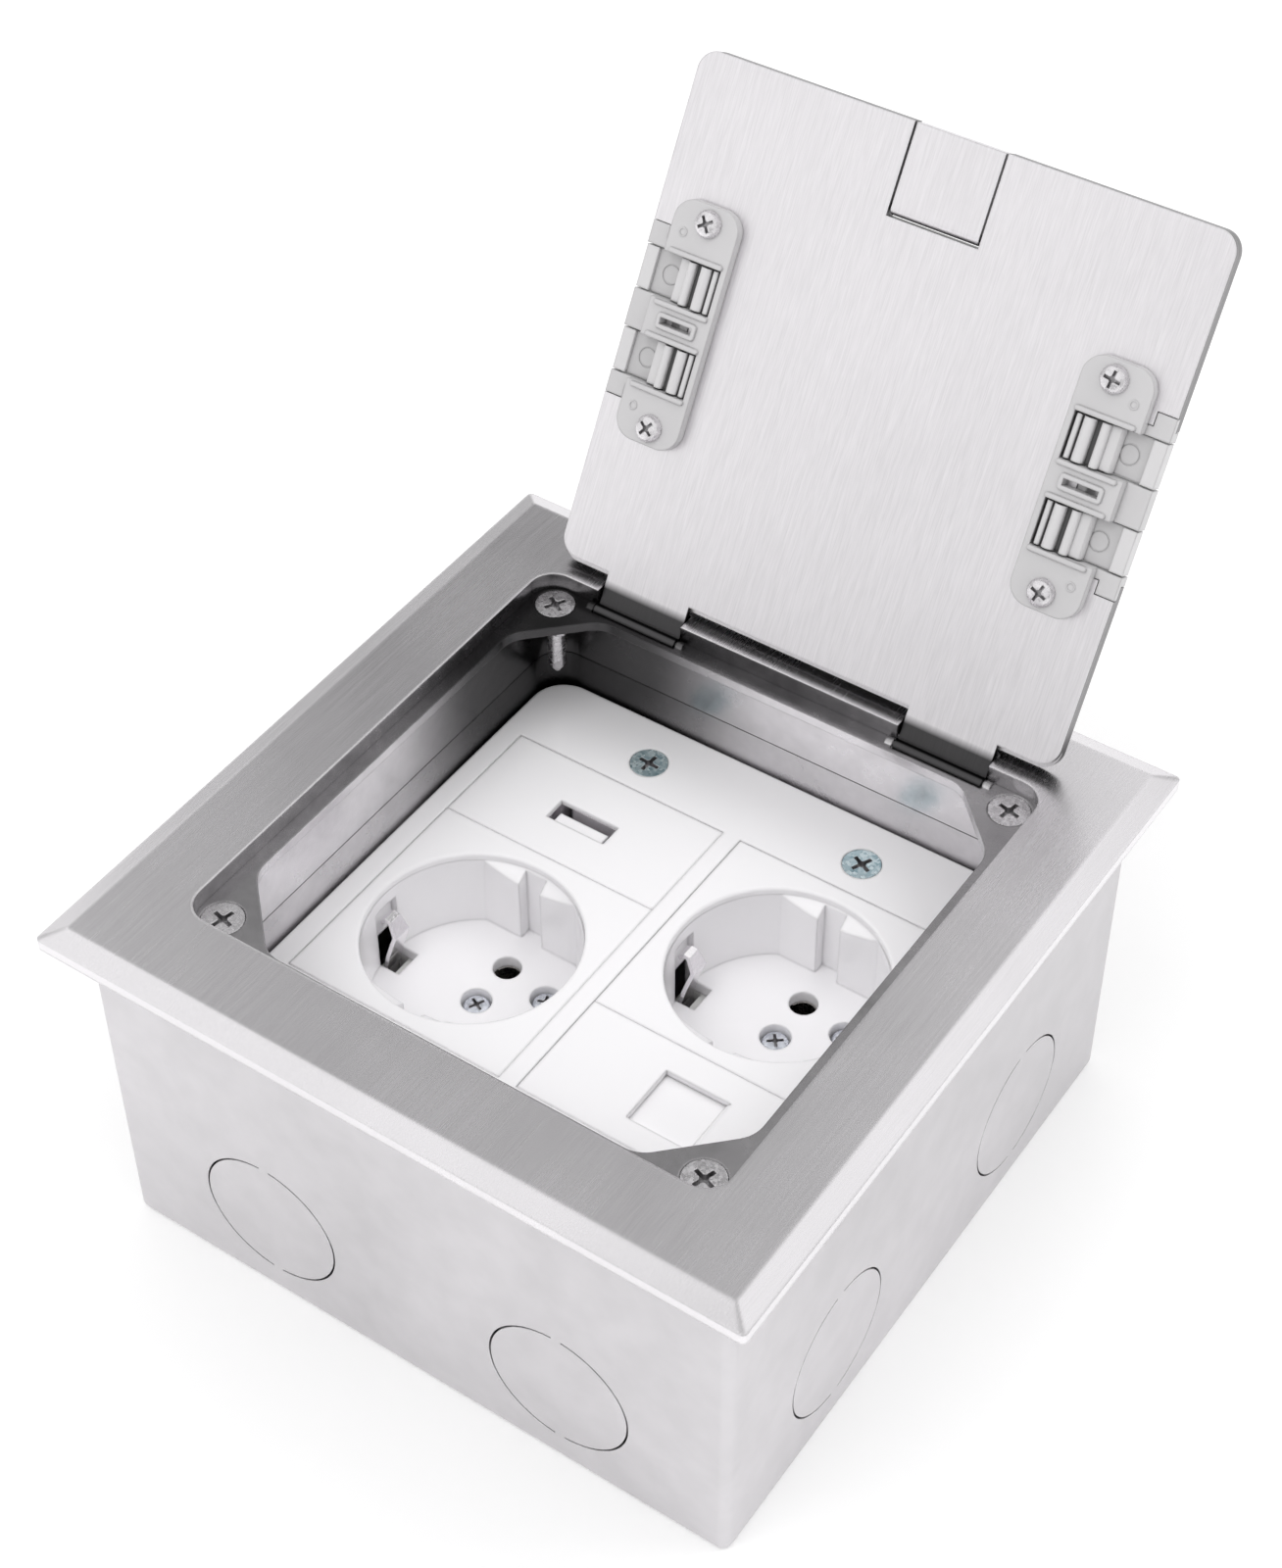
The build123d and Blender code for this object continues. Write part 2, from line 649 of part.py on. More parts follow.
# Both socket outlets are the same; the left one is at the front of its column, the right one behind
wells = [(-column_x, socket_y), (column_x, -socket_y)]
for side_name, (well_x, well_y) in zip(("left", "right"), wells):

    # Socket face with its round well, guide flats, earth clip notches and pin holes
    with BuildPart() as socket_insert:
        add(module_plate(well_x, well_y, socket_length, math.copysign(1, well_y)))
        with BuildSketch(Plane.XY.offset(cup_under)):
            with Locations((well_x, well_y)):
                Circle(recess_radius + cup_wall)
        extrude(amount=panel_under - cup_under)
        with BuildSketch(Plane.XY.offset(panel_z - rim_step)):
            with Locations((well_x, well_y)):
                Circle(rim_radius)
        extrude(amount=rim_step, mode=Mode.SUBTRACT)
        with BuildSketch(Plane.XY.offset(recess_floor)) as well:
            with Locations((well_x, well_y)):
                Circle(recess_radius)
                Rectangle(2 * recess_radius, 2 * guide_flat, mode=Mode.INTERSECT)
                Rectangle(guide_groove, 2 * (recess_radius - 0.4))
        extrude(amount=recess_depth - rim_step, mode=Mode.SUBTRACT)
        with BuildSketch(Plane.XY.offset(panel_z - rim_step)):
            with Locations((well_x, well_y)):
                Circle(recess_radius)
        extrude(amount=-guide_slope, taper=slope_angle, mode=Mode.SUBTRACT)
        mouth = socket_insert.faces().filter_by(Plane.XY).group_by(Axis.Z)[-1].edges()
        fillet(mouth.filter_by(GeomType.CIRCLE), mouth_edge)
        for side in (-1, 1):
            for reach, level, height in clip_cuts:
                with BuildSketch(Plane.XY.offset(level)):
                    with Locations((well_x + side * (clip_slot_inner + reach) / 2, well_y)):
                        Rectangle(reach - clip_slot_inner, clip_slot)
                extrude(amount=height, mode=Mode.SUBTRACT)
        with BuildSketch(Plane.XY.offset(cup_under)):
            with Locations((well_x, well_y - pin_offset), (well_x, well_y + pin_offset)):
                Circle(pin_hole_radius)
            with Locations((well_x, well_y), (well_x + second_screw_x, well_y + second_screw_y)):
                Circle(floor_screw_radius)
        extrude(amount=cup_floor, mode=Mode.SUBTRACT)
    export(socket_insert.part, f"socket_insert_{side_name}")

    # Rear housing with its contact chambers, clip pockets and screw seats
    with BuildPart() as socket_base:
        with BuildSketch(Plane.XY.offset(base_bottom)):
            with Locations((well_x, well_y)):
                RectangleRounded(base_size, base_size, base_corner)
        extrude(amount=base_depth)
        with BuildSketch(Plane.XY.offset(cup_under)):
            with Locations((well_x, well_y - pin_offset), (well_x, well_y + pin_offset)):
                Circle(contact_radius + contact_gap)
        extrude(amount=-contact_length - contact_gap, mode=Mode.SUBTRACT)
        for side in (-1, 1):
            with BuildSketch(Plane.XY.offset(cup_under)):
                with Locations((well_x + side * clip_leg, well_y)):
                    Rectangle(3 * clip_thickness, clip_slot)
            extrude(amount=-clip_tail - running_gap, mode=Mode.SUBTRACT)
        with Locations((well_x, well_y, cup_under),
                       (well_x + second_screw_x, well_y + second_screw_y, cup_under)):
            Cylinder(floor_shank_radius + thread_gap, floor_screw_length,
                     align=(Align.CENTER, Align.CENTER, Align.MAX), mode=Mode.SUBTRACT)
    export(socket_base.part, f"socket_base_{side_name}")

    # Two sprung sleeves that grip the plug's pins
    with BuildPart() as pin_contacts:
        for sy in (-1, 1):
            spot = (well_x, well_y + sy * pin_offset, cup_under - contact_length)
            with Locations(spot):
                Cylinder(contact_radius, contact_length,
                         align=(Align.CENTER, Align.CENTER, Align.MIN))
            with Locations((spot[0], spot[1], spot[2] + contact_end)):
                Cylinder(contact_bore, contact_length,
                         align=(Align.CENTER, Align.CENTER, Align.MIN), mode=Mode.SUBTRACT)
                Box(3 * contact_radius, contact_slit, contact_length,
                    align=(Align.CENTER, Align.CENTER, Align.MIN), mode=Mode.SUBTRACT)
    export(pin_contacts.part, f"pin_contacts_{side_name}")

    # Bent earth clips at the two sides of the well
    with BuildPart() as earth_clips:
        for side in (-1, 1):
            clip_plane = Plane(origin=(well_x, well_y, panel_z), x_dir=(side, 0, 0),
                               z_dir=(0, -side, 0))
            with BuildSketch(clip_plane):
                with BuildLine() as clip_line:
                    Polyline(*clip_profile)
                    offset(clip_line.line, amount=clip_thickness, side=Side.LEFT)
                make_face()
            extrude(amount=clip_width / 2, both=True)
        with BuildSketch(Plane(origin=(well_x, well_y, panel_z), x_dir=(0, 1, 0), z_dir=(1, 0, 0))):
            with BuildLine():
                Polyline(*clip_outline, close=True)
            make_face()
        extrude(amount=rim_radius, both=True, mode=Mode.INTERSECT)
    export(earth_clips.part, f"earth_clips_{side_name}")

# Recessed floor screws: one at each well's centre, one beside it
floor_screw = screw(floor_head_radius, floor_head_height, floor_shank_radius,
                    floor_screw_length, False, floor_recess)
with BuildPart() as socket_screws:
    with Locations(*[(x, y, cup_under) for x, y in wells]):
        add(floor_screw)
export(socket_screws.part, "socket_screws")
with BuildPart() as terminal_screws:
    with Locations(*[(x + second_screw_x, y + second_screw_y, cup_under) for x, y in wells]):
        add(floor_screw)
export(terminal_screws.part, "terminal_screws")

# Charging outlet: face, shell, tongue, housing and board
port_y = half_y + usb_shift
shell_top = panel_z - usb_sink
shell_bottom = shell_top - usb_length
with BuildPart() as usb_module_face:
    add(module_plate(-column_x, half_y, half_length, 1))
    with BuildSketch(Plane.XY.offset(shelf_top)):
        with Locations((-column_x, port_y)):
            Rectangle(usb_x, usb_y)
    extrude(amount=panel_z - shelf_top, mode=Mode.SUBTRACT)
    with BuildSketch(Plane.XY.offset(shelf_top)):
        with Locations((-column_x, port_y)):
            Rectangle(usb_x + 2 * usb_wall, usb_y + 2 * usb_wall)
    extrude(amount=shell_top - shelf_top, mode=Mode.SUBTRACT)
export(usb_module_face.part, "usb_module_face")

with BuildPart() as usb_shell:
    with BuildSketch(Plane.XY.offset(shell_bottom)):
        with Locations((-column_x, port_y)):
            Rectangle(usb_x + 2 * (usb_wall - press_gap), usb_y + 2 * (usb_wall - press_gap))
            Rectangle(usb_x - 2 * press_gap, usb_y - 2 * press_gap, mode=Mode.SUBTRACT)
    extrude(amount=usb_length)
export(usb_shell.part, "usb_shell")

tongue_y = port_y - usb_y / 2 + tongue_gap + usb_tongue_y / 2
with BuildPart() as usb_tongue:
    with BuildSketch(Plane.XY.offset(shell_bottom)):
        with Locations((-column_x, port_y)):
            Rectangle(usb_x - 4 * press_gap, usb_y - 4 * press_gap)
    extrude(amount=usb_plug_block)
    with BuildSketch(Plane.XY.offset(shell_bottom)):
        with Locations((-column_x, tongue_y)):
            Rectangle(usb_tongue_x, usb_tongue_y)
    extrude(amount=usb_length - usb_tongue_drop)
export(usb_tongue.part, "usb_tongue")

housing_depth = shelf_top - shell_bottom + board_plate + under_board
with BuildPart() as usb_housing:
    with BuildSketch(Plane.XY.offset(shelf_top - housing_depth)):
        with Locations((-column_x, half_y)):
            RectangleRounded(usb_housing_x, usb_housing_y, usb_housing_corner)
    extrude(amount=housing_depth)
    with BuildSketch(Plane.XY.offset(shelf_top - housing_depth + usb_housing_wall)):
        with Locations((-column_x, half_y)):
            Rectangle(usb_housing_x - 2 * usb_housing_wall, usb_housing_y - 2 * usb_housing_wall)
    extrude(amount=housing_depth, mode=Mode.SUBTRACT)
export(usb_housing.part, "usb_housing")

board_x = usb_housing_x - 2 * (usb_housing_wall + board_gap)
board_y = usb_housing_y - 2 * (usb_housing_wall + board_gap)
with BuildPart() as usb_board:
    with BuildSketch(Plane.XY.offset(shell_bottom)):
        with Locations((-column_x, half_y)):
            Rectangle(board_x, board_y)
    extrude(amount=-board_plate)
export(usb_board.part, "usb_board")

part_drop = under_board - usb_housing_wall
with BuildPart() as usb_board_parts:
    with Locations((-column_x + coil_x, half_y, shell_bottom - board_plate)):
        Cylinder(coil_radius, part_drop, align=(Align.CENTER, Align.CENTER, Align.MAX))
    with Locations((-column_x + chip_x, half_y, shell_bottom - board_plate)):
        Box(chip_length, chip_width, part_drop / 2, align=(Align.CENTER, Align.CENTER, Align.MAX))
    with Locations((-column_x + plug_x, half_y, shell_bottom - board_plate)):
        Box(plug_length, plug_width, part_drop, align=(Align.CENTER, Align.CENTER, Align.MAX))
export(usb_board_parts.part, "usb_board_parts")

# Data outlet: face with a sliding dust shutter, and the jack behind it
window_x = column_x + window_shift
window_y = -half_y - window_drop
shutter_x = window_size + 2 * shutter_margin
shutter_top = panel_z - shutter_sink
shutter_under = shutter_top - shutter_plate
channel_left = window_x - shutter_x / 2 - shutter_travel - slide_gap
channel_right = window_x + shutter_x / 2 + slide_gap
with BuildPart() as data_module_face:
    add(module_plate(column_x, -half_y, half_length, -1))
    with BuildSketch(Plane.XY.offset(shelf_top)):
        with Locations((window_x, window_y)):
            Rectangle(window_size, window_size)
    extrude(amount=panel_z - shelf_top, mode=Mode.SUBTRACT)
    with BuildSketch(Plane.XY.offset(shutter_under - slide_gap)):
        with Locations(((channel_left + channel_right) / 2, window_y)):
            Rectangle(channel_right - channel_left, shutter_x + 2 * slide_gap)
    extrude(amount=shutter_plate + 2 * slide_gap, mode=Mode.SUBTRACT)
    with BuildSketch(Plane.XZ.offset(-window_y)) as slope:
        with BuildLine():
            edge_x = window_x + window_size / 2
            Polyline((edge_x - 0.2, panel_z + 0.2), (edge_x + window_slope, panel_z + 0.2),
                     (edge_x + window_slope, panel_z), (edge_x - 0.2, panel_z - window_slope - 0.2),
                     close=True)
        make_face()
    extrude(amount=window_size / 2, both=True, mode=Mode.SUBTRACT)
export(data_module_face.part, "data_module_face")

with BuildPart() as data_shutter:
    with Locations((window_x, window_y, shutter_under)):
        Box(shutter_x, shutter_x, shutter_plate, align=(Align.CENTER, Align.CENTER, Align.MIN))
export(data_shutter.part, "data_shutter")

with BuildPart() as keystone_jack:
    with Locations((window_x, window_y, shelf_top)):
        Box(jack_x, jack_y, jack_depth, align=(Align.CENTER, Align.CENTER, Align.MAX))
        Box(jack_cavity_x, jack_cavity_y, jack_cavity_depth,
            align=(Align.CENTER, Align.CENTER, Align.MAX), mode=Mode.SUBTRACT)
        with Locations((0, -jack_cavity_y / 2, 0)):
            Box(latch_slot_x, 2 * latch_slot_y, jack_cavity_depth,
                align=(Align.CENTER, Align.CENTER, Align.MAX), mode=Mode.SUBTRACT)
export(keystone_jack.part, "keystone_jack")

with BuildPart() as keystone_contacts:
    for place in range(8):
        wire_x = window_x + (place - 3.5) * contact_pitch
        with Locations((wire_x, window_y + jack_cavity_y / 2 - contact_wire / 2,
                        shelf_top - jack_cavity_depth)):
            Box(contact_wire, contact_wire, contact_rise,
                align=(Align.CENTER, Align.CENTER, Align.MIN))
export(keystone_contacts.part, "keystone_contacts")


# Inner lid plate with the two hinge tabs and their knuckles
with BuildPart() as lid_inner_plate:
    with BuildSketch(lid_plane):
        with Locations((0, lid_mid)):
            RectangleRounded(2 * lid_half, lid_length, lid_radius)
        with Locations((0, lid_length - lift_length / 2 + 1)):
            Rectangle(lift_width, lift_length + 2, mode=Mode.SUBTRACT)
        for side in (-1, 1):
            with Locations((side * (lid_half - notch_depth / 2 + 1), lid_mid)):
                Rectangle(notch_depth + 2, notch_length, mode=Mode.SUBTRACT)
            with Locations((side * (lid_half - bay_depth / 2), lid_mid)):
                Rectangle(bay_depth, bay_length, mode=Mode.SUBTRACT)
    extrude(amount=-inner_plate)
    for tab_x in tab_middles:
        with BuildSketch(side_plane.offset(tab_x)):
            with Locations((-hinge_drop / 2, -inner_plate / 2)):
                Rectangle(hinge_drop, inner_plate)
            with Locations((-hinge_drop, hinge_stand_off)):
                Circle(knuckle_radius)
        extrude(amount=tab_width / 2, both=True)
        with BuildSketch(side_plane.offset(tab_x)):
            with Locations((-hinge_drop, hinge_stand_off)):
                Circle(pin_radius + pin_gap)
        extrude(amount=tab_width / 2, both=True, mode=Mode.SUBTRACT)
    with BuildSketch(lid_plane.offset(lift_pin_h)):
        with Locations((0, lift_pin_s)):
            Rectangle(lift_width + 2 * lift_pin_reach, 2 * lift_pin_radius)
    extrude(amount=lift_pin_radius, mode=Mode.SUBTRACT)
    with BuildSketch(lid_plane):
        with Locations(*guide_spots):
            Circle(guide_shank_radius + thread_gap)
    extrude(amount=-inner_plate, mode=Mode.SUBTRACT)
export(lid_inner_plate.part, "lid_inner_plate")

# Outer stainless skin
with BuildPart() as lid_top_plate:
    with BuildSketch(lid_plane.offset(-inner_plate)):
        with Locations((0, (lid_length - skin_overhang) / 2)):
            RectangleRounded(2 * lid_half, lid_length + skin_overhang, lid_radius)
        with Locations((0, lid_length - lift_length / 2 + 1)):
            Rectangle(lift_width, lift_length + 2, mode=Mode.SUBTRACT)
        for side in (-1, 1):
            with Locations((side * (lid_half - bay_depth / 2 + 1), lid_mid)):
                Rectangle(bay_depth + 2, bay_length, mode=Mode.SUBTRACT)
    extrude(amount=-top_skin)
    with BuildSketch(lid_plane.offset(lift_pin_h)):
        with Locations((0, lift_pin_s)):
            Rectangle(lift_width + 2 * lift_pin_reach, 2 * lift_pin_radius)
    extrude(amount=lift_pin_radius, both=True, mode=Mode.SUBTRACT)
    with BuildSketch(lid_plane.offset(-inner_plate)):
        with Locations(*guide_spots):
            Circle(guide_shank_radius + thread_gap)
    extrude(amount=cover_skin - top_skin, mode=Mode.SUBTRACT)
export(lid_top_plate.part, "lid_top_plate")

# Grey moulded cable outlet block: pads, slotted rib, window frames and bearing holes
pad_x = lid_half - guide_pad_inset - guide_pad_width / 2
bearing_plane = Plane(origin=lid_spot(flap_axis, lid_mid, flap_axis_height).position,
                      x_dir=(1, 0, 0), z_dir=up_lid)
bearing_reach = window_pitch / 2 + window_length / 2 + trunnion_length + 0.2
bead_reaches = [window_pitch / 2 + side * (window_length / 2 + bead_gap + bead_width / 2)
                for side in (-1, 1)]
bead_length = guide_pad_width - guide_pad_radius / 2
with BuildPart() as cable_guide:
    with BuildSketch(lid_plane):
        with Locations((pad_x, lid_mid)):
            RectangleRounded(guide_pad_width, guide_pad_length, guide_pad_radius)
    extrude(amount=guide_pad_height)
    with BuildSketch(lid_plane):
        with Locations((lid_half - notch_depth / 2 + mould_gap / 2, lid_mid)):
            Rectangle(notch_depth - mould_gap, notch_length - 2 * mould_gap)
        with Locations((lid_half - bay_depth / 2 + mould_gap / 2, lid_mid)):
            Rectangle(bay_depth - mould_gap, bay_length - 2 * mould_gap)
    extrude(amount=-inner_plate)
    with BuildSketch(lid_plane.offset(-inner_plate)):
        with Locations((lid_half - bay_depth / 2 + mould_gap / 2, lid_mid)):
            Rectangle(bay_depth - mould_gap, bay_length - 2 * mould_gap)
    extrude(amount=-top_skin)
    with BuildSketch(lid_plane.offset(-lid_thickness)):
        for middle in window_middles:
            with Locations((lid_half - bay_depth / 2 + 1, middle)):
                Rectangle(bay_depth + 2 + 2 * mould_gap, window_length)
    extrude(amount=lid_thickness, mode=Mode.SUBTRACT)
    with BuildSketch(lid_plane):
        for middle in window_middles:
            with Locations((lid_half - ridge_bay / 2 + 1, middle)):
                Rectangle(ridge_bay + 2, window_length)
    extrude(amount=guide_pad_height, mode=Mode.SUBTRACT)
    with BuildSketch(lid_plane.offset(guide_pad_height)):
        with Locations((pad_x, lid_mid)):
            RectangleRounded(rib_slot_length + 2 * rib_border, rib_slot_width + 2 * rib_border,
                             rib_border * 0.8)
        with Locations(*[(pad_x, lid_mid + side * reach) for side in (-1, 1) for reach in bead_reaches]):
            SlotOverall(bead_length, bead_width)
    extrude(amount=bead_height)
    with BuildSketch(lid_plane.offset(guide_pad_height)):
        with Locations(*[(lid_half - pad_ring_inset, lid_mid + side * pad_ring_spacing / 2)
                         for side in (-1, 1)]):
            Circle(pad_ring_radius)
            Circle(pad_ring_radius - pad_ring_width, mode=Mode.SUBTRACT)
    extrude(amount=pad_ring_height)
    with BuildSketch(lid_plane.offset(guide_pad_height + bead_height)):
        with Locations((pad_x, lid_mid)):
            Rectangle(rib_slot_length, rib_slot_width)
    extrude(amount=-guide_pad_height - bead_height, mode=Mode.SUBTRACT)
    with BuildSketch(bearing_plane):
        Circle(trunnion_radius + pin_gap)
    extrude(amount=bearing_reach, both=True, mode=Mode.SUBTRACT)
    with BuildSketch(lid_plane.offset(guide_pad_height)):
        with Locations(*guide_spots):
            Circle(guide_shank_radius + thread_gap)
    extrude(amount=-guide_pad_height, mode=Mode.SUBTRACT)
export(cable_guide.part, "cable_guide_right")
with BuildPart() as cable_guide_left:
    add(mirror(cable_guide.part, about=Plane.YZ, mode=Mode.PRIVATE))
export(cable_guide_left.part, "cable_guide_left")

# Screws that hold the outlet blocks on the lid
guide_screw = screw(guide_head_radius, guide_head_height, guide_shank_radius,
                    guide_pad_height + lid_thickness - guide_screw_cover, False, guide_recess)
with BuildPart() as guide_screws:
    with Locations(*[lid_spot(x, s, guide_pad_height) for x, s in guide_spots]):
        add(guide_screw)
export(guide_screws.part, "guide_screws")


def cable_flap(side, middle):
    """One outlet flap: outer plate with a rim and a ring, pivot barrel, trunnions and a barred tail."""
    profile = Plane(origin=lid_spot(0, middle, 0).position, x_dir=(side, 0, 0),
                    z_dir=up_lid * -side)
    plate_out = lid_half - flap_edge_gap
    half_width = window_length / 2 - running_gap
    with BuildPart() as flap:
        with BuildSketch(profile):
            with BuildLine():
                Polyline((flap_axis, -lid_thickness), (plate_out, -lid_thickness),
                         (plate_out, -lid_thickness + flap_plate),
                         (flap_axis, -lid_thickness + flap_plate), close=True)
            make_face()
            with Locations((flap_axis, flap_axis_height)):
                Circle(flap_barrel)
            with Locations((flap_axis, running_gap + flap_web + flap_barrel / 2)):
                Rectangle(2 * flap_barrel, flap_barrel, mode=Mode.SUBTRACT)
            tail_out = lid_half - ridge_bay + running_gap
            with Locations(((flap_axis + tail_out) / 2, running_gap + flap_web / 2)):
                Rectangle(flap_axis - tail_out, flap_web)
            for inset, bar_radius, bar_height in flap_bars:
                with Locations((flap_axis - inset, running_gap + bar_height / 2)):
                    Rectangle(2 * bar_radius, bar_height)
                with Locations((flap_axis - inset, running_gap + bar_height)):
                    Circle(bar_radius)
        extrude(amount=half_width, both=True)
        with BuildSketch(profile):
            with Locations((plate_out - flap_rim_width / 2, -lid_thickness + flap_plate)):
                Rectangle(flap_rim_width, 2 * flap_rim)
        extrude(amount=half_width, both=True)
        with BuildSketch(profile):
            with Locations((flap_axis, flap_axis_height)):
                Circle(trunnion_radius)
        extrude(amount=half_width + trunnion_length, both=True)
        with BuildSketch(lid_plane.offset(flap_plate - lid_thickness)):
            with Locations((side * (lid_half - flap_ring_inset), middle)):
                Circle(flap_ring_radius)
                Circle(flap_ring_radius - pad_ring_width, mode=Mode.SUBTRACT)
        extrude(amount=-pad_ring_height, mode=Mode.SUBTRACT)
    return flap.part


for side, side_name in ((-1, "left"), (1, "right")):
    for middle, level in zip(window_middles, ("lower", "upper")):
        export(cable_flap(side, middle), f"cable_flap_{side_name}_{level}")

# Lift tab with its rounded pivot end, and the pin it turns on
tab_half = lift_width / 2 - lift_side_gap
with BuildPart() as lift_tab:
    with BuildSketch(side_plane):
        tab_stop = lid_length - flap_edge_gap
        with Locations(((lift_pin_s + tab_stop) / 2, lift_pin_h)):
            Rectangle(tab_stop - lift_pin_s, 2 * lift_barrel)
        with Locations((lift_pin_s, lift_pin_h)):
            Circle(lift_barrel)
            Circle(lift_pin_radius + pin_gap, mode=Mode.SUBTRACT)
    extrude(amount=tab_half, both=True)
    with BuildSketch(lid_plane.offset(lift_pin_h - lift_barrel)):
        with Locations((0, lid_length - finger_slot_inset)):
            SlotOverall(finger_slot_length, finger_slot_width)
    extrude(amount=finger_slot_depth, mode=Mode.SUBTRACT)
export(lift_tab.part, "lift_tab")

with BuildPart() as lift_pin:
    with BuildSketch(side_plane):
        with Locations((lift_pin_s, lift_pin_h)):
            Circle(lift_pin_radius)
    extrude(amount=lift_width / 2 + lift_pin_reach, both=True)
export(lift_pin.part, "lift_pin")
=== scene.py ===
# %% [markdown]
# # A floor socket box with its lid open
# The real object is a bevelled steel frame over a plated box, with a tray, a white outlet panel
# and a hinged lid. The CAD model gives every size and every moving piece. This lesson dresses that
# model: it loads it as a fixed frame, sets up a small photo studio, gives each finish its own
# procedural material, and makes the repeated pieces with Geometry Nodes.

import json
import math

import bpy
from mathutils import Matrix, Vector


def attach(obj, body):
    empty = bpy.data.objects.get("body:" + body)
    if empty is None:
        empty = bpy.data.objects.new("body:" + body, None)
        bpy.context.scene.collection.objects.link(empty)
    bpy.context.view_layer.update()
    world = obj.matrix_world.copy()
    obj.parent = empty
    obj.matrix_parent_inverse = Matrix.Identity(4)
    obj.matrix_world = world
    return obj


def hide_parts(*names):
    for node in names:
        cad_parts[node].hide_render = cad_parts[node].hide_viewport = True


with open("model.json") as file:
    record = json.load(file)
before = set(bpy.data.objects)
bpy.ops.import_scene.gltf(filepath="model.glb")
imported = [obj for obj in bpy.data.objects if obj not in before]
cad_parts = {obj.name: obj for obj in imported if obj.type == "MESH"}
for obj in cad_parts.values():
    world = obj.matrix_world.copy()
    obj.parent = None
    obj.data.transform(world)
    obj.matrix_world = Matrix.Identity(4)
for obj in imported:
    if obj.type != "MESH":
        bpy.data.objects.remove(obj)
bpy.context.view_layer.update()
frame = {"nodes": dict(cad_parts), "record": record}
cad_nodes = frame["nodes"]

# %% [markdown]
# ## The camera
# The camera was solved from the corners of the square frame in the photograph, so it is written
# as three directions and a place. A matrix made from the directions as columns turns the camera
# without any angles to convert.

# %% Place the camera
camera_data = bpy.data.cameras.new("studio_camera")
camera_data.sensor_fit = "VERTICAL"
camera_data.sensor_height = 36
camera_data.lens = 66.94
camera_data.clip_start = 0.01
camera = bpy.data.objects.new("studio_camera", camera_data)
bpy.context.scene.collection.objects.link(camera)
camera_right = Vector((0.82567, 0.56412, -0.00589))
camera_up = Vector((-0.39579, 0.58667, 0.70652))
camera_back = Vector((0.40202, -0.58102, 0.70767))
camera_turn = Matrix((camera_right, camera_up, camera_back)).transposed().to_4x4()
camera_place = Vector((0.19686, -0.27880, 0.43357))
camera.matrix_world = Matrix.Translation(camera_place) @ camera_turn
bpy.context.scene.camera = camera
bpy.context.scene.view_settings.view_transform = "Standard"
print("camera at", tuple(round(v, 3) for v in camera.location))

# %% [markdown]
# ## Building node trees
# Every material and every Geometry Nodes tree below is a chain of small nodes. One helper adds a
# node, sets its options and fills its inputs: a plain value is stored, and another node's output
# is linked.


# %% Helpers that add a node
def add_node(tree, kind, inputs=None, **options):
    """Add a node to a tree, set its options, and fill or link its inputs."""
    made = tree.nodes.new(kind)
    for option, value in options.items():
        setattr(made, option, value)
    for key, value in (inputs or {}).items():
        if isinstance(value, bpy.types.NodeSocket):
            tree.links.new(value, made.inputs[key])
        else:
            made.inputs[key].default_value = value
    return made


def sum_node(tree, operation, first, second=0.0, third=0.0):
    """A Math node, returned as its output."""
    return add_node(tree, "ShaderNodeMath", {0: first, 1: second, 2: third}, operation=operation).outputs[0]


def vector_node(tree, operation, first, second=(0, 0, 0)):
    """A Vector Math node, returned as the node, because some operations put out a value."""
    return add_node(tree, "ShaderNodeVectorMath", {0: first, 1: second}, operation=operation)


def ramp_node(tree, value, start, end, **options):
    """A Map Range node that turns start to end into 0 to 1, returned as its output."""
    return add_node(tree, "ShaderNodeMapRange", {"Value": value, "From Min": start, "From Max": end},
                    **options).outputs[0]


# %% [markdown]
# ## The studio
# The photograph is a cut-out on white, so the sky and the floor read as white to the camera and
# in the metal's reflections. The sky gives less light than it shows: Light Path tells the two
# apart. Two large soft lamps overhead give the light its direction, and reflections don't see
# them. Grey cards do the opposite: only reflections see them. They stand where the frame's top, the
# lid and the box mirror them, so that the steel doesn't mirror plain white.

# %% The white sky
sky_light = 0.92
sky_white = 1.0
world = bpy.data.worlds.new("studio_white")
bpy.context.scene.world = world
world.use_nodes = True
world.node_tree.nodes.clear()
sky_path = add_node(world.node_tree, "ShaderNodeLightPath")
sky_seen = sum_node(world.node_tree, "MAXIMUM", sky_path.outputs["Is Camera Ray"],
                    sky_path.outputs["Is Glossy Ray"])
sky_seen = sum_node(world.node_tree, "MAXIMUM", sky_seen, sky_path.outputs["Is Transmission Ray"])
sky_strength = add_node(world.node_tree, "ShaderNodeMapRange",
                        {"Value": sky_seen, "To Min": sky_light, "To Max": sky_white})
sky = add_node(world.node_tree, "ShaderNodeBackground",
               {"Color": (1, 1, 1, 1), "Strength": sky_strength.outputs["Result"]})
add_node(world.node_tree, "ShaderNodeOutputWorld", {"Surface": sky.outputs[0]})


# %% The soft lamp
def soft_lamp(name, place, target, width, watts):
    """A square area lamp at a place, turned towards a target."""
    data = bpy.data.lights.new(name, "AREA")
    data.shape = "SQUARE"
    data.size = width
    data.energy = watts
    lamp = bpy.data.objects.new(name, data)
    bpy.context.scene.collection.objects.link(lamp)
    lamp.location = place
    lamp.rotation_euler = (Vector(target) - Vector(place)).to_track_quat("-Z", "Y").to_euler()
    lamp.visible_glossy = False
    return lamp


lamp_target = (0, 0, 0.06)
lamp_width = 0.6
right_lamp = soft_lamp("right_lamp", (0.47, 0.45, 1.05), lamp_target, lamp_width, 2.0)
front_lamp = soft_lamp("front_lamp", (-0.15, -0.50, 1.09), lamp_target, lamp_width, 2.8)
print("lamps", [(lamp.name, lamp.data.energy) for lamp in (right_lamp, front_lamp)])


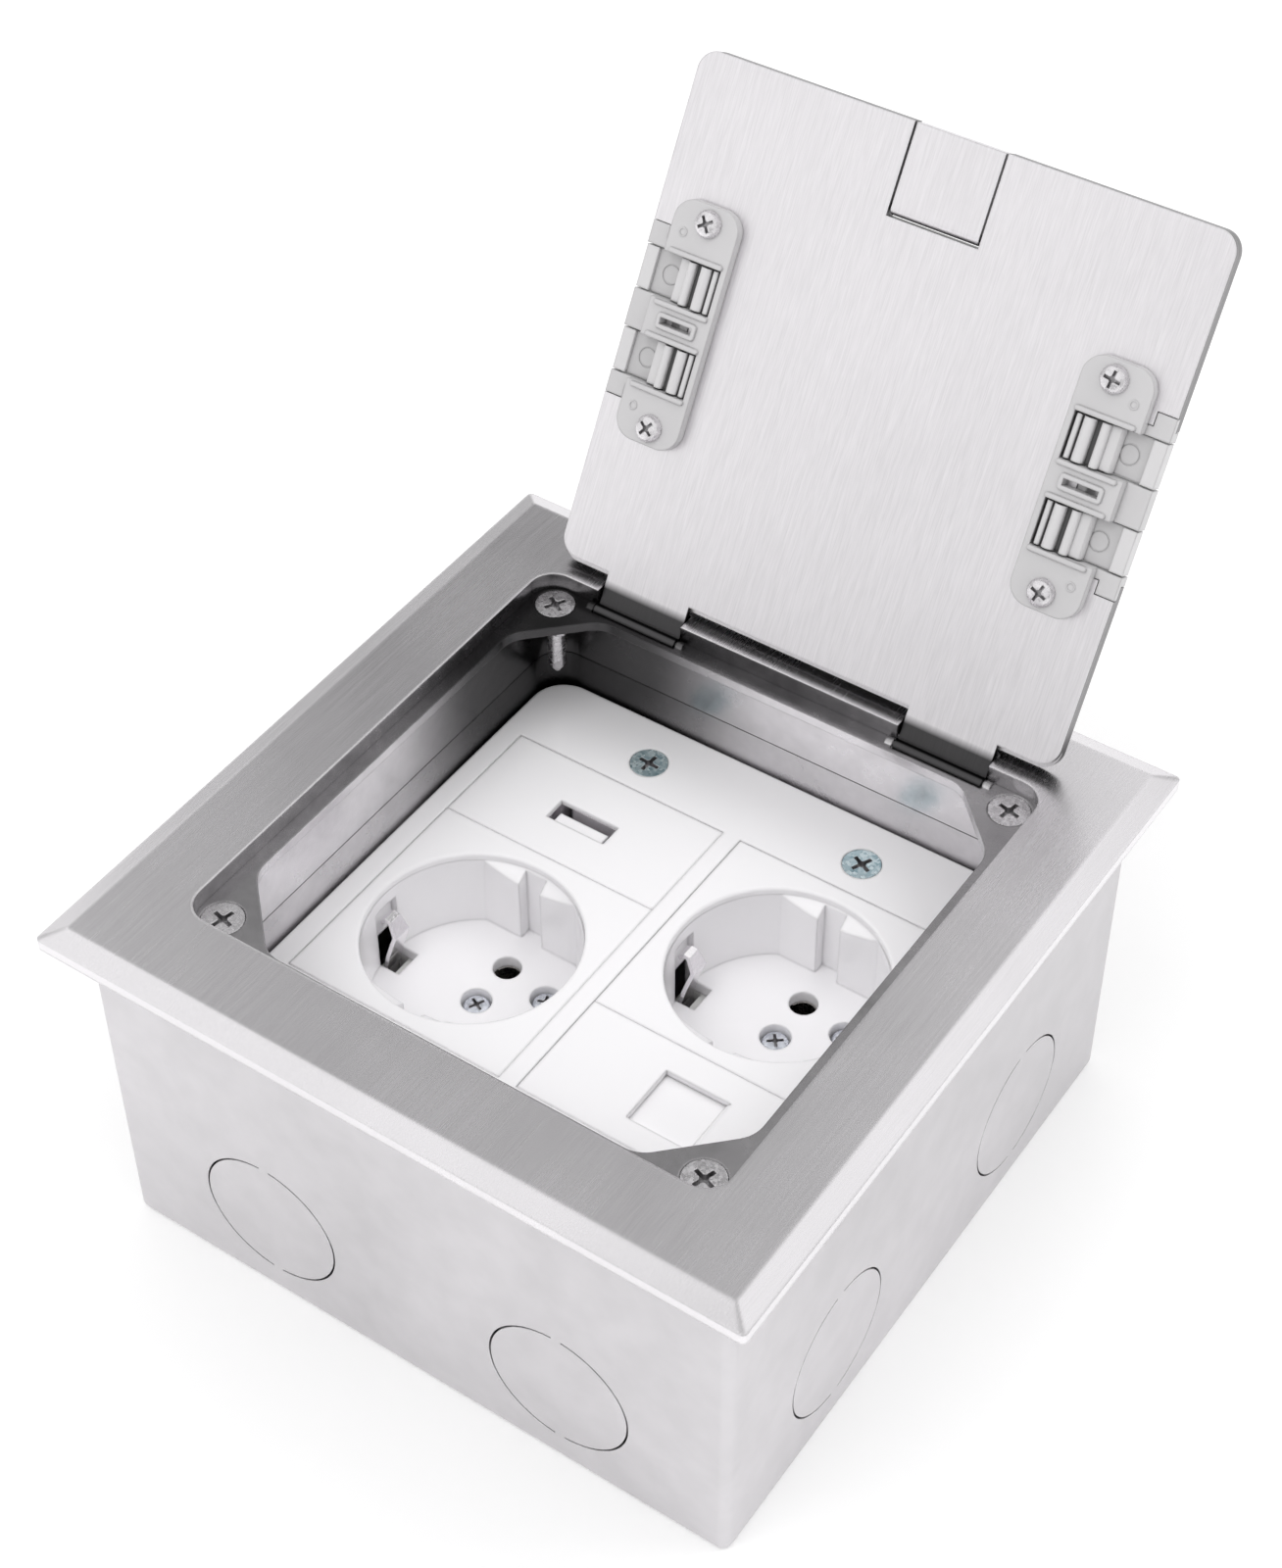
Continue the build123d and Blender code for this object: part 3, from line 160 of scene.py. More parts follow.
# %% The floor and the grey cards
def flat_sheet(name, middle, across, upward, width, height):
    """A plain rectangle for the studio, given by its middle and two directions."""
    across = Vector(across).normalized() * width / 2
    upward = Vector(upward).normalized() * height / 2
    middle = Vector(middle)
    mesh = bpy.data.meshes.new(name)
    corners = [middle - across - upward, middle + across - upward, middle + across + upward,
               middle - across + upward]
    mesh.from_pydata([tuple(c) for c in corners], [], [(0, 1, 2, 3)])
    made = bpy.data.objects.new(name, mesh)
    bpy.context.scene.collection.objects.link(made)
    return made


def start_material(name):
    """An empty material that uses nodes, and its tree."""
    made = bpy.data.materials.new(name)
    made.use_nodes = True
    made.node_tree.nodes.clear()
    return made, made.node_tree


floor_drop = 0.0002
floor_size = 6
floor_grey = 0.84
floor_lift = 0.2
floor = flat_sheet("floor", (0, 0, -floor_drop), (1, 0, 0), (0, 1, 0), floor_size, floor_size)
floor_paint, floor_tree = start_material("floor_paint")
floor_path = add_node(floor_tree, "ShaderNodeLightPath")
floor_seen = sum_node(floor_tree, "MAXIMUM", floor_path.outputs["Is Camera Ray"],
                      floor_path.outputs["Is Glossy Ray"])
floor_glow = sum_node(floor_tree, "MULTIPLY", floor_seen, floor_lift)
floor_shader = add_node(floor_tree, "ShaderNodeBsdfPrincipled",
                        {"Base Color": (floor_grey, floor_grey, floor_grey, 1), "Roughness": 0.9,
                         "Specular IOR Level": 0.1, "Emission Color": (1, 1, 1, 1),
                         "Emission Strength": floor_glow})
add_node(floor_tree, "ShaderNodeOutputMaterial", {"Surface": floor_shader.outputs[0]})
floor.data.materials.append(floor_paint)


def studio_card(name, direction, distance, width, height, level):
    """A plain card that only reflections see, facing the object from a direction."""
    direction = Vector(direction).normalized()
    across = direction.cross(Vector((0, 0, 1))).normalized()
    upward = across.cross(direction).normalized()
    card = flat_sheet(name, card_target + direction * distance, across, upward, width, height)
    paint, tree = start_material(name + "_paint")
    glow = add_node(tree, "ShaderNodeEmission", {"Color": (level, level, level, 1), "Strength": 1.0})
    add_node(tree, "ShaderNodeOutputMaterial", {"Surface": glow.outputs[0]})
    card.data.materials.append(paint)
    card.visible_camera = False
    card.visible_diffuse = False
    card.visible_shadow = False


# Each card: name, direction, distance, width, height and grey level.
card_target = Vector((0, 0, 0.07))
cards = [("back_card", (-0.45, 0.525, 0.72), 1.1, 0.64, 1.0, 0.45),
         ("dark_card", (-0.51, 0.59, 0.62), 0.9, 0.2, 0.2, 0.26),
         ("low_card", (-0.80, 0.58, 0.14), 1.0, 0.5, 0.42, 0.5),
         ("front_card", (-0.16, -0.97, 0.12), 1.0, 0.5, 0.5, 0.55),
         ("right_card", (0.85, 0.15, 0.40), 1.0, 0.8, 0.6, 0.55),
         ("left_card", (-0.95, -0.10, 0.35), 1.0, 0.8, 0.6, 0.55),
         ("near_right_card", (0.55, -0.75, 0.45), 1.0, 0.7, 0.6, 0.6),
         ("far_right_card", (0.15, 0.95, 0.40), 1.0, 0.6, 0.5, 0.55),
         ("top_card", (0.06, -0.08, 1.0), 1.0, 0.7, 0.7, 0.6)]
for name, direction, distance, width, height, level in cards:
    studio_card(name, direction, distance, width, height, level)
print("stage cards:", len(cards))

# %% [markdown]
# ## Effects that several materials share
# Brushing, cloudy mottling, rounded and worn edges and fine grain turn up on most of the finishes,
# so each is a node group with named inputs, built once. The groups only put out values and
# normals. The shader itself stays in each material.


# %% A helper that starts a shader node group
def start_group(name, inputs, outputs):
    """A shader node group with named sockets; a Vector input reads Object coordinates."""
    group = bpy.data.node_groups.new(name, "ShaderNodeTree")
    for label, kind, value in inputs:
        socket = group.interface.new_socket(label, in_out="INPUT", socket_type=kind)
        if value is not None:
            socket.default_value = value
    for label, kind in outputs:
        group.interface.new_socket(label, in_out="OUTPUT", socket_type=kind)
    return group, group.nodes.new("NodeGroupInput").outputs, group.nodes.new("NodeGroupOutput").inputs


# %% Brushed metal: long fine streaks along X of the coordinates it is given
brushed, brush_in, brush_out = start_group(
    "brushed_streaks",
    [("Vector", "NodeSocketVector", None), ("Length", "NodeSocketFloat", 0.012),
     ("Width", "NodeSocketFloat", 0.00035)],
    [("Streak", "NodeSocketFloat")])
wide_share = 0.22
per_length = sum_node(brushed, "DIVIDE", 1.0, brush_in["Length"])
per_width = sum_node(brushed, "DIVIDE", 1.0, brush_in["Width"])
brush_scale = add_node(brushed, "ShaderNodeCombineXYZ", {0: per_length, 1: per_width, 2: per_width})
brush_place = vector_node(brushed, "MULTIPLY", brush_in["Vector"], brush_scale.outputs[0]).outputs[0]
fine_streaks = add_node(brushed, "ShaderNodeTexNoise",
                        {"Vector": brush_place, "Scale": 1.0, "Detail": 3.0, "Roughness": 0.65})
wide_streaks = add_node(brushed, "ShaderNodeTexNoise", {"Vector": brush_place, "Scale": 0.3, "Detail": 2.0})
streaks = sum_node(brushed, "MULTIPLY", wide_streaks.outputs["Fac"], wide_share)
streaks = sum_node(brushed, "MULTIPLY_ADD", fine_streaks.outputs["Fac"], 1.0 - wide_share, streaks)
brushed.links.new(ramp_node(brushed, streaks, 0.32, 0.68), brush_out["Streak"])

# %% Cloudy mottling, for plated sheet and cast metal
clouds, cloud_in, cloud_out = start_group(
    "soft_clouds",
    [("Vector", "NodeSocketVector", None), ("Size", "NodeSocketFloat", 0.03)],
    [("Cloud", "NodeSocketFloat"), ("Patch", "NodeSocketFloat")])
patches_per_cloud = 7.0
cloud_scale = sum_node(clouds, "DIVIDE", 1.0, cloud_in["Size"])
cloud_noise = add_node(clouds, "ShaderNodeTexNoise",
                       {"Vector": cloud_in["Vector"], "Scale": cloud_scale, "Detail": 4.0,
                        "Roughness": 0.5, "Distortion": 0.4})
patch_scale = sum_node(clouds, "MULTIPLY", cloud_scale, patches_per_cloud)
patch_noise = add_node(clouds, "ShaderNodeTexNoise",
                       {"Vector": cloud_in["Vector"], "Scale": patch_scale, "Detail": 3.0})
clouds.links.new(ramp_node(clouds, cloud_noise.outputs["Fac"], 0.3, 0.7), cloud_out["Cloud"])
clouds.links.new(ramp_node(clouds, patch_noise.outputs["Fac"], 0.35, 0.65), cloud_out["Patch"])

# %% Rounded edges, and a mask of where an edge is worn
edges, edge_in, edge_out = start_group(
    "worn_edges",
    [("Vector", "NodeSocketVector", None), ("Radius", "NodeSocketFloat", 0.0004),
     ("Breakup", "NodeSocketFloat", 0.002)],
    [("Wear", "NodeSocketFloat"), ("Normal", "NodeSocketVector")])
probe_rays = 4
rounded = add_node(edges, "ShaderNodeBevel", {"Radius": edge_in["Radius"]}, samples=probe_rays).outputs[0]
flat_normal = add_node(edges, "ShaderNodeNewGeometry").outputs["Normal"]
same_way = vector_node(edges, "DOT_PRODUCT", rounded, flat_normal).outputs["Value"]
at_edge = ramp_node(edges, same_way, 0.995, 0.8)
chip_scale = sum_node(edges, "DIVIDE", 1.0, edge_in["Breakup"])
chip_noise = add_node(edges, "ShaderNodeTexNoise",
                      {"Vector": edge_in["Vector"], "Scale": chip_scale, "Detail": 3.0})
chipped = ramp_node(edges, chip_noise.outputs["Fac"], 0.35, 0.6)
edges.links.new(sum_node(edges, "MULTIPLY", at_edge, chipped), edge_out["Wear"])
edges.links.new(rounded, edge_out["Normal"])

# %% Fine moulded or cast grain, with a few specks of dust
grain, grain_in, grain_out = start_group(
    "fine_grain",
    [("Vector", "NodeSocketVector", None), ("Size", "NodeSocketFloat", 0.0004)],
    [("Grain", "NodeSocketFloat"), ("Dust", "NodeSocketFloat")])
specks_per_metre = 520.0
dust_patches_per_metre = 90.0
grain_scale = sum_node(grain, "DIVIDE", 1.0, grain_in["Size"])
grain_noise = add_node(grain, "ShaderNodeTexNoise",
                       {"Vector": grain_in["Vector"], "Scale": grain_scale, "Detail": 2.0})
specks = add_node(grain, "ShaderNodeTexVoronoi",
                  {"Vector": grain_in["Vector"], "Scale": specks_per_metre, "Randomness": 1.0})
dust_noise = add_node(grain, "ShaderNodeTexNoise",
                      {"Vector": grain_in["Vector"], "Scale": dust_patches_per_metre, "Detail": 1.0})
on_speck = ramp_node(grain, specks.outputs["Distance"], 0.16, 0.06)
in_patch = ramp_node(grain, dust_noise.outputs["Fac"], 0.5, 0.7)
grain.links.new(grain_noise.outputs["Fac"], grain_out["Grain"])
grain.links.new(sum_node(grain, "MULTIPLY", on_speck, in_patch), grain_out["Dust"])

# %% Painted shade: dark lines where two pieces nearly touch, from ambient occlusion
crevice_shade, gap_in, gap_out = start_group(
    "painted_crevice_shade", [("Reach", "NodeSocketFloat", 0.0012)], [("Gap", "NodeSocketFloat")])
openness = add_node(crevice_shade, "ShaderNodeAmbientOcclusion", {"Distance": gap_in["Reach"]}, samples=probe_rays)
crevice_shade.links.new(ramp_node(crevice_shade, openness.outputs["AO"], 0.55, 0.15), gap_out["Gap"])

# %% Bright and dark flecks, for crystalline zinc plating
flecks, fleck_in, fleck_out = start_group(
    "plating_flecks",
    [("Vector", "NodeSocketVector", None), ("Size", "NodeSocketFloat", 0.0004)],
    [("Fleck", "NodeSocketFloat")])
fleck_scale = sum_node(flecks, "DIVIDE", 1.0, fleck_in["Size"])
fleck_cells = add_node(flecks, "ShaderNodeTexVoronoi", {"Vector": fleck_in["Vector"], "Scale": fleck_scale})
fleck_shades = add_node(flecks, "ShaderNodeSeparateXYZ", {0: fleck_cells.outputs["Color"]})
flecks.links.new(fleck_shades.outputs[0], fleck_out["Fleck"])
print("shared effects:", [g.name for g in (brushed, clouds, edges, grain, crevice_shade, flecks)])

# %% [markdown]
# ## Metal finishes
# All the metals follow one recipe. Object coordinates, turned by a Mapping node so that X runs
# along the brushing, drive streaks and clouds. These move the colour a little, the roughness a
# little more, and a very small bump. The worn-edge group rounds the edges and brightens them.
# Tones then darken or lighten a finish in places: painted shade on cut edges and in gaps, painted
# light on upright walls, and dark joint lines. The dark back corner of the tray is a painted
# reflection made in this way, because the lights alone did not give it.


# %% Masks that give one finish different tones
# All masks are called alike, so the two that need no place are handed one too.
faces_along = 0.75
faces_away = 0.5


def mask_facing(tree, place, axis):
    """1 on faces that don't look along the axis, such as a plate's cut edges."""
    facing = add_node(tree, "ShaderNodeTexCoord").outputs["Normal"]
    along = vector_node(tree, "DOT_PRODUCT", facing, axis).outputs["Value"]
    return ramp_node(tree, sum_node(tree, "ABSOLUTE", along), faces_along, faces_away)


def mask_below(tree, place, heights):
    """0 above the first height, 1 under the second."""
    height = add_node(tree, "ShaderNodeSeparateXYZ", {0: place}).outputs[2]
    return ramp_node(tree, height, heights[0], heights[1])


def mask_band(tree, place, band):
    """1 where the distance from an axis's middle plane lies in a band: (axis, low, high)."""
    axis, low, high = band
    away = sum_node(tree, "ABSOLUTE", add_node(tree, "ShaderNodeSeparateXYZ", {0: place}).outputs[axis])
    return sum_node(tree, "MULTIPLY", sum_node(tree, "GREATER_THAN", away, low),
                    sum_node(tree, "LESS_THAN", away, high))


def mask_round(tree, place, spot):
    """1 near a point, fading to 0: spot is (middle, near, far)."""
    middle, near, far = spot
    away = vector_node(tree, "DISTANCE", place, middle).outputs["Value"]
    return ramp_node(tree, away, far, near, interpolation_type="SMOOTHSTEP")


def mask_gap_shade(tree, place, strength):
    """The shared painted crevice shade mask, times a strength."""
    gap = add_node(tree, "ShaderNodeGroup", node_tree=crevice_shade).outputs["Gap"]
    return sum_node(tree, "MULTIPLY", gap, strength)


mask_kinds = {"facing": mask_facing, "below": mask_below, "band": mask_band, "round": mask_round,
              "gap": mask_gap_shade}


def mix_colours(tree, part, first, second):
    """A Mix node between two colours, returned as its colour."""
    return add_node(tree, "ShaderNodeMix", {0: part, 6: first, 7: second}, data_type="RGBA").outputs[2]


def add_tones(tree, colour, place, tones):
    """Each tone scales the colour where all of its masks hold."""
    for factor, masks in tones:
        mask = 1.0
        for kind, value in masks.items():
            mask = sum_node(tree, "MULTIPLY", mask_kinds[kind](tree, place, value), mask)
        toned = add_node(tree, "ShaderNodeVectorMath", {0: colour, "Scale": factor}, operation="SCALE")
        colour = mix_colours(tree, mask, colour, toned.outputs[0])
    return colour


# %% One recipe for brushed, plated and cast metal
finishes = {}
bump_height = 0.0002
worn_gain = 1.3
worn_lift = 0.08


def metal_finish(name, dark, light, rough, streak=None, cloud=0.03, cloud_part=0.5, edge=0.0004, wear=0.5,
                 bump=0.04, turn=(0, 0, 0), fleck=0.0, metallic=1.0, tones=()):
    """Stores a metal under its name; dark and light are its two greys, rough its two roughnesses."""
    made, tree = start_material(name)
    place = add_node(tree, "ShaderNodeTexCoord").outputs["Object"]
    turned = add_node(tree, "ShaderNodeMapping", {"Vector": place, "Rotation": turn}).outputs[0]
    misty = add_node(tree, "ShaderNodeGroup", {"Vector": turned, "Size": cloud}, node_tree=clouds).outputs
    worn = add_node(tree, "ShaderNodeGroup", {"Vector": place, "Radius": edge}, node_tree=edges).outputs
    fine = misty["Patch"]
    if fleck:
        spots = add_node(tree, "ShaderNodeGroup", {"Vector": place, "Size": fleck}, node_tree=flecks)
        fine = spots.outputs["Fleck"]
    if streak:
        lines = add_node(tree, "ShaderNodeGroup", {"Vector": turned, "Length": streak[0], "Width": streak[1]},
                         node_tree=brushed)
        fine = lines.outputs["Streak"]
    blend = sum_node(tree, "MULTIPLY", misty["Cloud"], cloud_part)
    blend = sum_node(tree, "MULTIPLY_ADD", fine, 1.0 - cloud_part, blend)
    colour = mix_colours(tree, blend, (*dark, 1), (*light, 1))
    worn_colour = tuple(min(1, c * worn_gain + worn_lift) for c in light)
    colour = mix_colours(tree, sum_node(tree, "MULTIPLY", worn["Wear"], wear), colour, (*worn_colour, 1))
    colour = add_tones(tree, colour, place, tones)
    matt = add_node(tree, "ShaderNodeMapRange", {"Value": blend, "To Min": rough[0], "To Max": rough[1]})
    raised = add_node(tree, "ShaderNodeBump", {"Strength": bump, "Distance": bump_height, "Height": fine,
                                               "Normal": worn["Normal"]})
    shader = add_node(tree, "ShaderNodeBsdfPrincipled",
                      {"Base Color": colour, "Metallic": metallic, "Roughness": matt.outputs["Result"],
                       "Normal": raised.outputs[0]})
    add_node(tree, "ShaderNodeOutputMaterial", {"Surface": shader.outputs[0]})
    finishes[name] = made


camera_tint = (1.006, 0.983, 1.008)


def grey(level, cool=0.0):
    """A neutral grey as the camera saw it, with a slight cool (positive) or warm (negative) tint."""
    red, green, blue = camera_tint
    return (level * (red - cool), level * green, level * (blue + cool))


# %% The metals of the box, frame and tray
quarter = math.pi / 2
# Painted shade: a round darker patch at the back of the frame's opening wall.
painted_wall_shade = {"round": ((-0.02, 0.055, 0.074), 0.02, 0.06)}
# Painted reflection: a dark back-left corner on the tray and the liner, in a dark and a dim step.
painted_dark_corner = {"round": ((-0.047, 0.045, 0.066), 0.018, 0.046)}
painted_dim_corner = {"round": ((-0.050, 0.044, 0.060), 0.02, 0.062)}
# Painted light: the tray's upright faces are drawn brighter than its flat ledge.
painted_light_upright_faces = {"facing": (0, 0, 1)}
# Painted shade in the tray's gaps.
tray_gap_shade = {"gap": 0.5}
skirt_joint = {"band": (2, 0.0568, 0.0571)}
metal_finish("frame_stainless", grey(0.78), grey(0.88), (0.22, 0.30), streak=(0.014, 0.0003), bump=0.015,
             edge=0.0009, wear=0.2, turn=(0, 0, quarter))
# The opening's wall is a darker copy of the frame's steel: painted shade.
metal_finish("frame_wall_painted_shade", grey(0.30), grey(0.46), (0.2, 0.3), cloud=0.02, bump=0.03,
             tones=[(0.4, painted_wall_shade)])
metal_finish("box_galvanised", grey(0.58), grey(0.73), (0.34, 0.5), cloud=0.045, cloud_part=0.75, bump=0.02)
metal_finish("cast_grey", grey(0.38), grey(0.50), (0.18, 0.30), cloud=0.014, cloud_part=0.8, bump=0.05,
             edge=0.0005, wear=0.3, tones=[(1.65, painted_light_upright_faces), (0.14, painted_dark_corner), (0.75, painted_dim_corner),
                                           (0.3, tray_gap_shade), (0.25, skirt_joint)])
metal_finish("liner_steel", grey(0.60), grey(0.76), (0.24, 0.36), cloud=0.014, cloud_part=0.8, bump=0.04,
             tones=[(0.12, painted_dark_corner), (0.75, painted_dim_corner)])
print("metals so far:", list(finishes))

# %% The metals of the lid
lean = math.radians(29.76)
lid_turn = (lean - quarter, 0, -quarter)
lid_normal = (0, -math.cos(lean), math.sin(lean))
# The lid's tones are painted shade: cut edges, sunk tabs, low edges near the hinge and gaps.
painted_shade_cut_edges = {"facing": lid_normal}
painted_shade_sunk_tabs = {"below": (0.0772, 0.0757)}
painted_shade_low_edges = {"facing": lid_normal, "below": (0.084, 0.0800)}
lid_gap_shade = {"gap": 0.8}
lid_painted_shade = [(0.32, painted_shade_cut_edges), (0.1, painted_shade_sunk_tabs), (0.12, painted_shade_low_edges), (0.1, lid_gap_shade)]
metal_finish("lid_inner_steel", grey(0.78), grey(0.94), (0.34, 0.46), streak=(0.006, 0.00025), cloud_part=0.2,
             bump=0.08, turn=lid_turn, tones=lid_painted_shade)
metal_finish("lid_outer_steel", grey(0.62), grey(0.82), (0.28, 0.42), streak=(0.02, 0.0003), cloud_part=0.3,
             bump=0.06, turn=lid_turn, tones=lid_painted_shade)
metal_finish("tab_steel", grey(0.78), grey(0.94), (0.34, 0.46), streak=(0.006, 0.00025), cloud_part=0.2,
             bump=0.08, turn=lid_turn, tones=[(0.1, lid_gap_shade)])

# %% The small metal pieces
metal_finish("zinc_screw", grey(0.50, 0.07), grey(0.95, 0.05), (0.14, 0.30), fleck=0.0005, metallic=0.6,
             cloud=0.003, cloud_part=0.3, bump=0.25, edge=0.00025)
metal_finish("blue_screw", (0.26, 0.40, 0.45), (0.84, 0.97, 1.0), (0.14, 0.30), fleck=0.0006, metallic=0.6,
             cloud=0.003, cloud_part=0.1, bump=0.3, edge=0.00025)
metal_finish("dark_screw", grey(0.55), grey(0.97), (0.2, 0.36), fleck=0.0005, cloud=0.003, cloud_part=0.3,
             bump=0.4, edge=0.00025)
metal_finish("bright_screw", grey(0.68), grey(0.9), (0.2, 0.34), fleck=0.0004, cloud=0.003, cloud_part=0.3,
             bump=0.25, edge=0.00025)
# The inside of the cross takes a darker copy of the screw metal: painted shade.
metal_finish("screw_recess_painted_shade", grey(0.28), grey(0.60), (0.3, 0.5), cloud=0.002, bump=0.1)
metal_finish("pin_steel", grey(0.2), grey(0.3), (0.15, 0.28), cloud=0.004, bump=0.05, edge=0.0002)
metal_finish("clip_nickel", grey(0.85), grey(0.97), (0.08, 0.16), cloud=0.004, bump=0.05, edge=0.0002)
metal_finish("terminal_brass", (0.30, 0.29, 0.28), (0.46, 0.44, 0.42), (0.2, 0.35), cloud=0.004, bump=0.05,
             edge=0.0003)
metal_finish("contact_gold", (0.72, 0.52, 0.20), (0.9, 0.7, 0.32), (0.12, 0.22), cloud=0.003, bump=0.03,
             edge=0.0001)
print("metals:", len(finishes))

# %% [markdown]
# ## Plastics and the circuit board
# The outlet panel is glossy white thermoset, the cable outlets are grey moulded nylon, and the
# rear parts are matt. They share a second recipe: fine grain for bump, soft clouds for a slight
# unevenness of colour, dust that gathers as specks, and rounded edges.


# %% One recipe for moulded plastic
dust_colour = (0.55, 0.54, 0.52, 1)


def plastic_finish(name, colour, rough, spread=0.03, grain_size=0.0004, bump=0.04, edge=0.0004, coat=0.0,
                   dust=0.1, cloud=0.02, tones=()):
    """Stores a plastic under its name, with uneven colour, moulded grain, dust and rounded edges."""
    made, tree = start_material(name)
    place = add_node(tree, "ShaderNodeTexCoord").outputs["Object"]
    misty = add_node(tree, "ShaderNodeGroup", {"Vector": place, "Size": cloud}, node_tree=clouds).outputs
    moulded = add_node(tree, "ShaderNodeGroup", {"Vector": place, "Size": grain_size},
                       node_tree=grain).outputs
    worn = add_node(tree, "ShaderNodeGroup", {"Vector": place, "Radius": edge}, node_tree=edges).outputs
    low = tuple(c * (1 - spread) for c in colour)
    high = tuple(min(1, c * (1 + spread)) for c in colour)
    shade = mix_colours(tree, misty["Cloud"], (*low, 1), (*high, 1))
    shade = mix_colours(tree, sum_node(tree, "MULTIPLY", moulded["Dust"], dust), shade, dust_colour)
    shade = add_tones(tree, shade, place, tones)
    matt = add_node(tree, "ShaderNodeMapRange",
                    {"Value": misty["Patch"], "To Min": rough[0], "To Max": rough[1]})
    raised = add_node(tree, "ShaderNodeBump", {"Strength": bump, "Distance": bump_height,
                                               "Height": moulded["Grain"], "Normal": worn["Normal"]})
    shader = add_node(tree, "ShaderNodeBsdfPrincipled",
                      {"Base Color": shade, "Roughness": matt.outputs["Result"], "Normal": raised.outputs[0],
                       "Coat Weight": coat, "Coat Roughness": 0.08, "IOR": 1.5})
    add_node(tree, "ShaderNodeOutputMaterial", {"Surface": shader.outputs[0]})
    finishes[name] = made


# %% The plastics of the outlets, and the board
# Painted shade on the plastics: in gaps, in the flap's slot and over the flap's outer pad.
panel_gap_shade = {"gap": 0.35}
guide_gap_shade = {"gap": 0.95}
painted_shade_flap_slot = {"band": (0, 0.03962, 0.04068)}
painted_shade_flap_pad = {"band": (0, 0.0446, 0.0497)}
plastic_finish("white_plastic", (0.95, 0.94, 0.955), (0.26, 0.27), spread=0.003, coat=0.2, bump=0.003,
               edge=0.0008, dust=0.0, tones=[(0.5, panel_gap_shade)])
plastic_finish("grey_plastic", (0.59, 0.582, 0.59), (0.28, 0.36), spread=0.02, coat=0.1, bump=0.03,
               edge=0.0005, dust=0.1, tones=[(0.06, guide_gap_shade)])
plastic_finish("flap_plastic", (0.66, 0.652, 0.66), (0.28, 0.36), spread=0.02, coat=0.1, bump=0.03,
               edge=0.0005, dust=0.1, tones=[(0.06, guide_gap_shade), (0.1, painted_shade_flap_slot), (0.8, painted_shade_flap_pad)])
plastic_finish("rear_plastic", (0.78, 0.78, 0.76), (0.4, 0.55), spread=0.03)
plastic_finish("tongue_plastic", (0.05, 0.05, 0.05), (0.35, 0.5), spread=0.15)
plastic_finish("board_green", (0.04, 0.22, 0.09), (0.3, 0.45), spread=0.2, coat=0.4)
print("finishes:", len(finishes))

# %% [markdown]
# ## Dress the CAD nodes
# The record names a material slot for each CAD node, so the finishes are stored under the same
# names, and one loop hands them out. The meshes themselves aren't touched.

# %% Give each CAD node its finish
slot_of = {part["node"]: part["material_slot"] for part in frame["record"]["subparts"]}
slot_of["lift_tab"] = "tab_steel"
slot_of.update({name: "flap_plastic" for name in cad_nodes if name.startswith("cable_flap")})
for node_name, cad_object in cad_nodes.items():
    cad_object.data.materials.clear()
    cad_object.data.materials.append(finishes[slot_of[node_name]])
print("dressed", len(cad_nodes), "nodes")

# %% [markdown]
# ## Pieces made by rule
# Every turned or framed piece here follows one rule. A table of rows gives a half width, a half
# depth, a corner radius and a height, and each row becomes one loop round the piece. With the
# corner radius equal to both halves, the loop is a circle, so the same rule turns a screw.


# %% Tables and loops for Geometry Nodes
weld_distance = 0.000002
grid_half = 0.5
corner_count = 4.0


def row_table(tree, index, kind, values):
    """An Index Switch that looks a value up by row number."""
    table = tree.nodes.new("GeometryNodeIndexSwitch")
    table.data_type = kind
    while len(table.index_switch_items) < len(values):
        table.index_switch_items.new()
    tree.links.new(index, table.inputs[0])
    for number, value in enumerate(values):
        if isinstance(value, bpy.types.NodeSocket):
            tree.links.new(value, table.inputs[number + 1])
        else:
            table.inputs[number + 1].default_value = value
    return table.outputs[0]


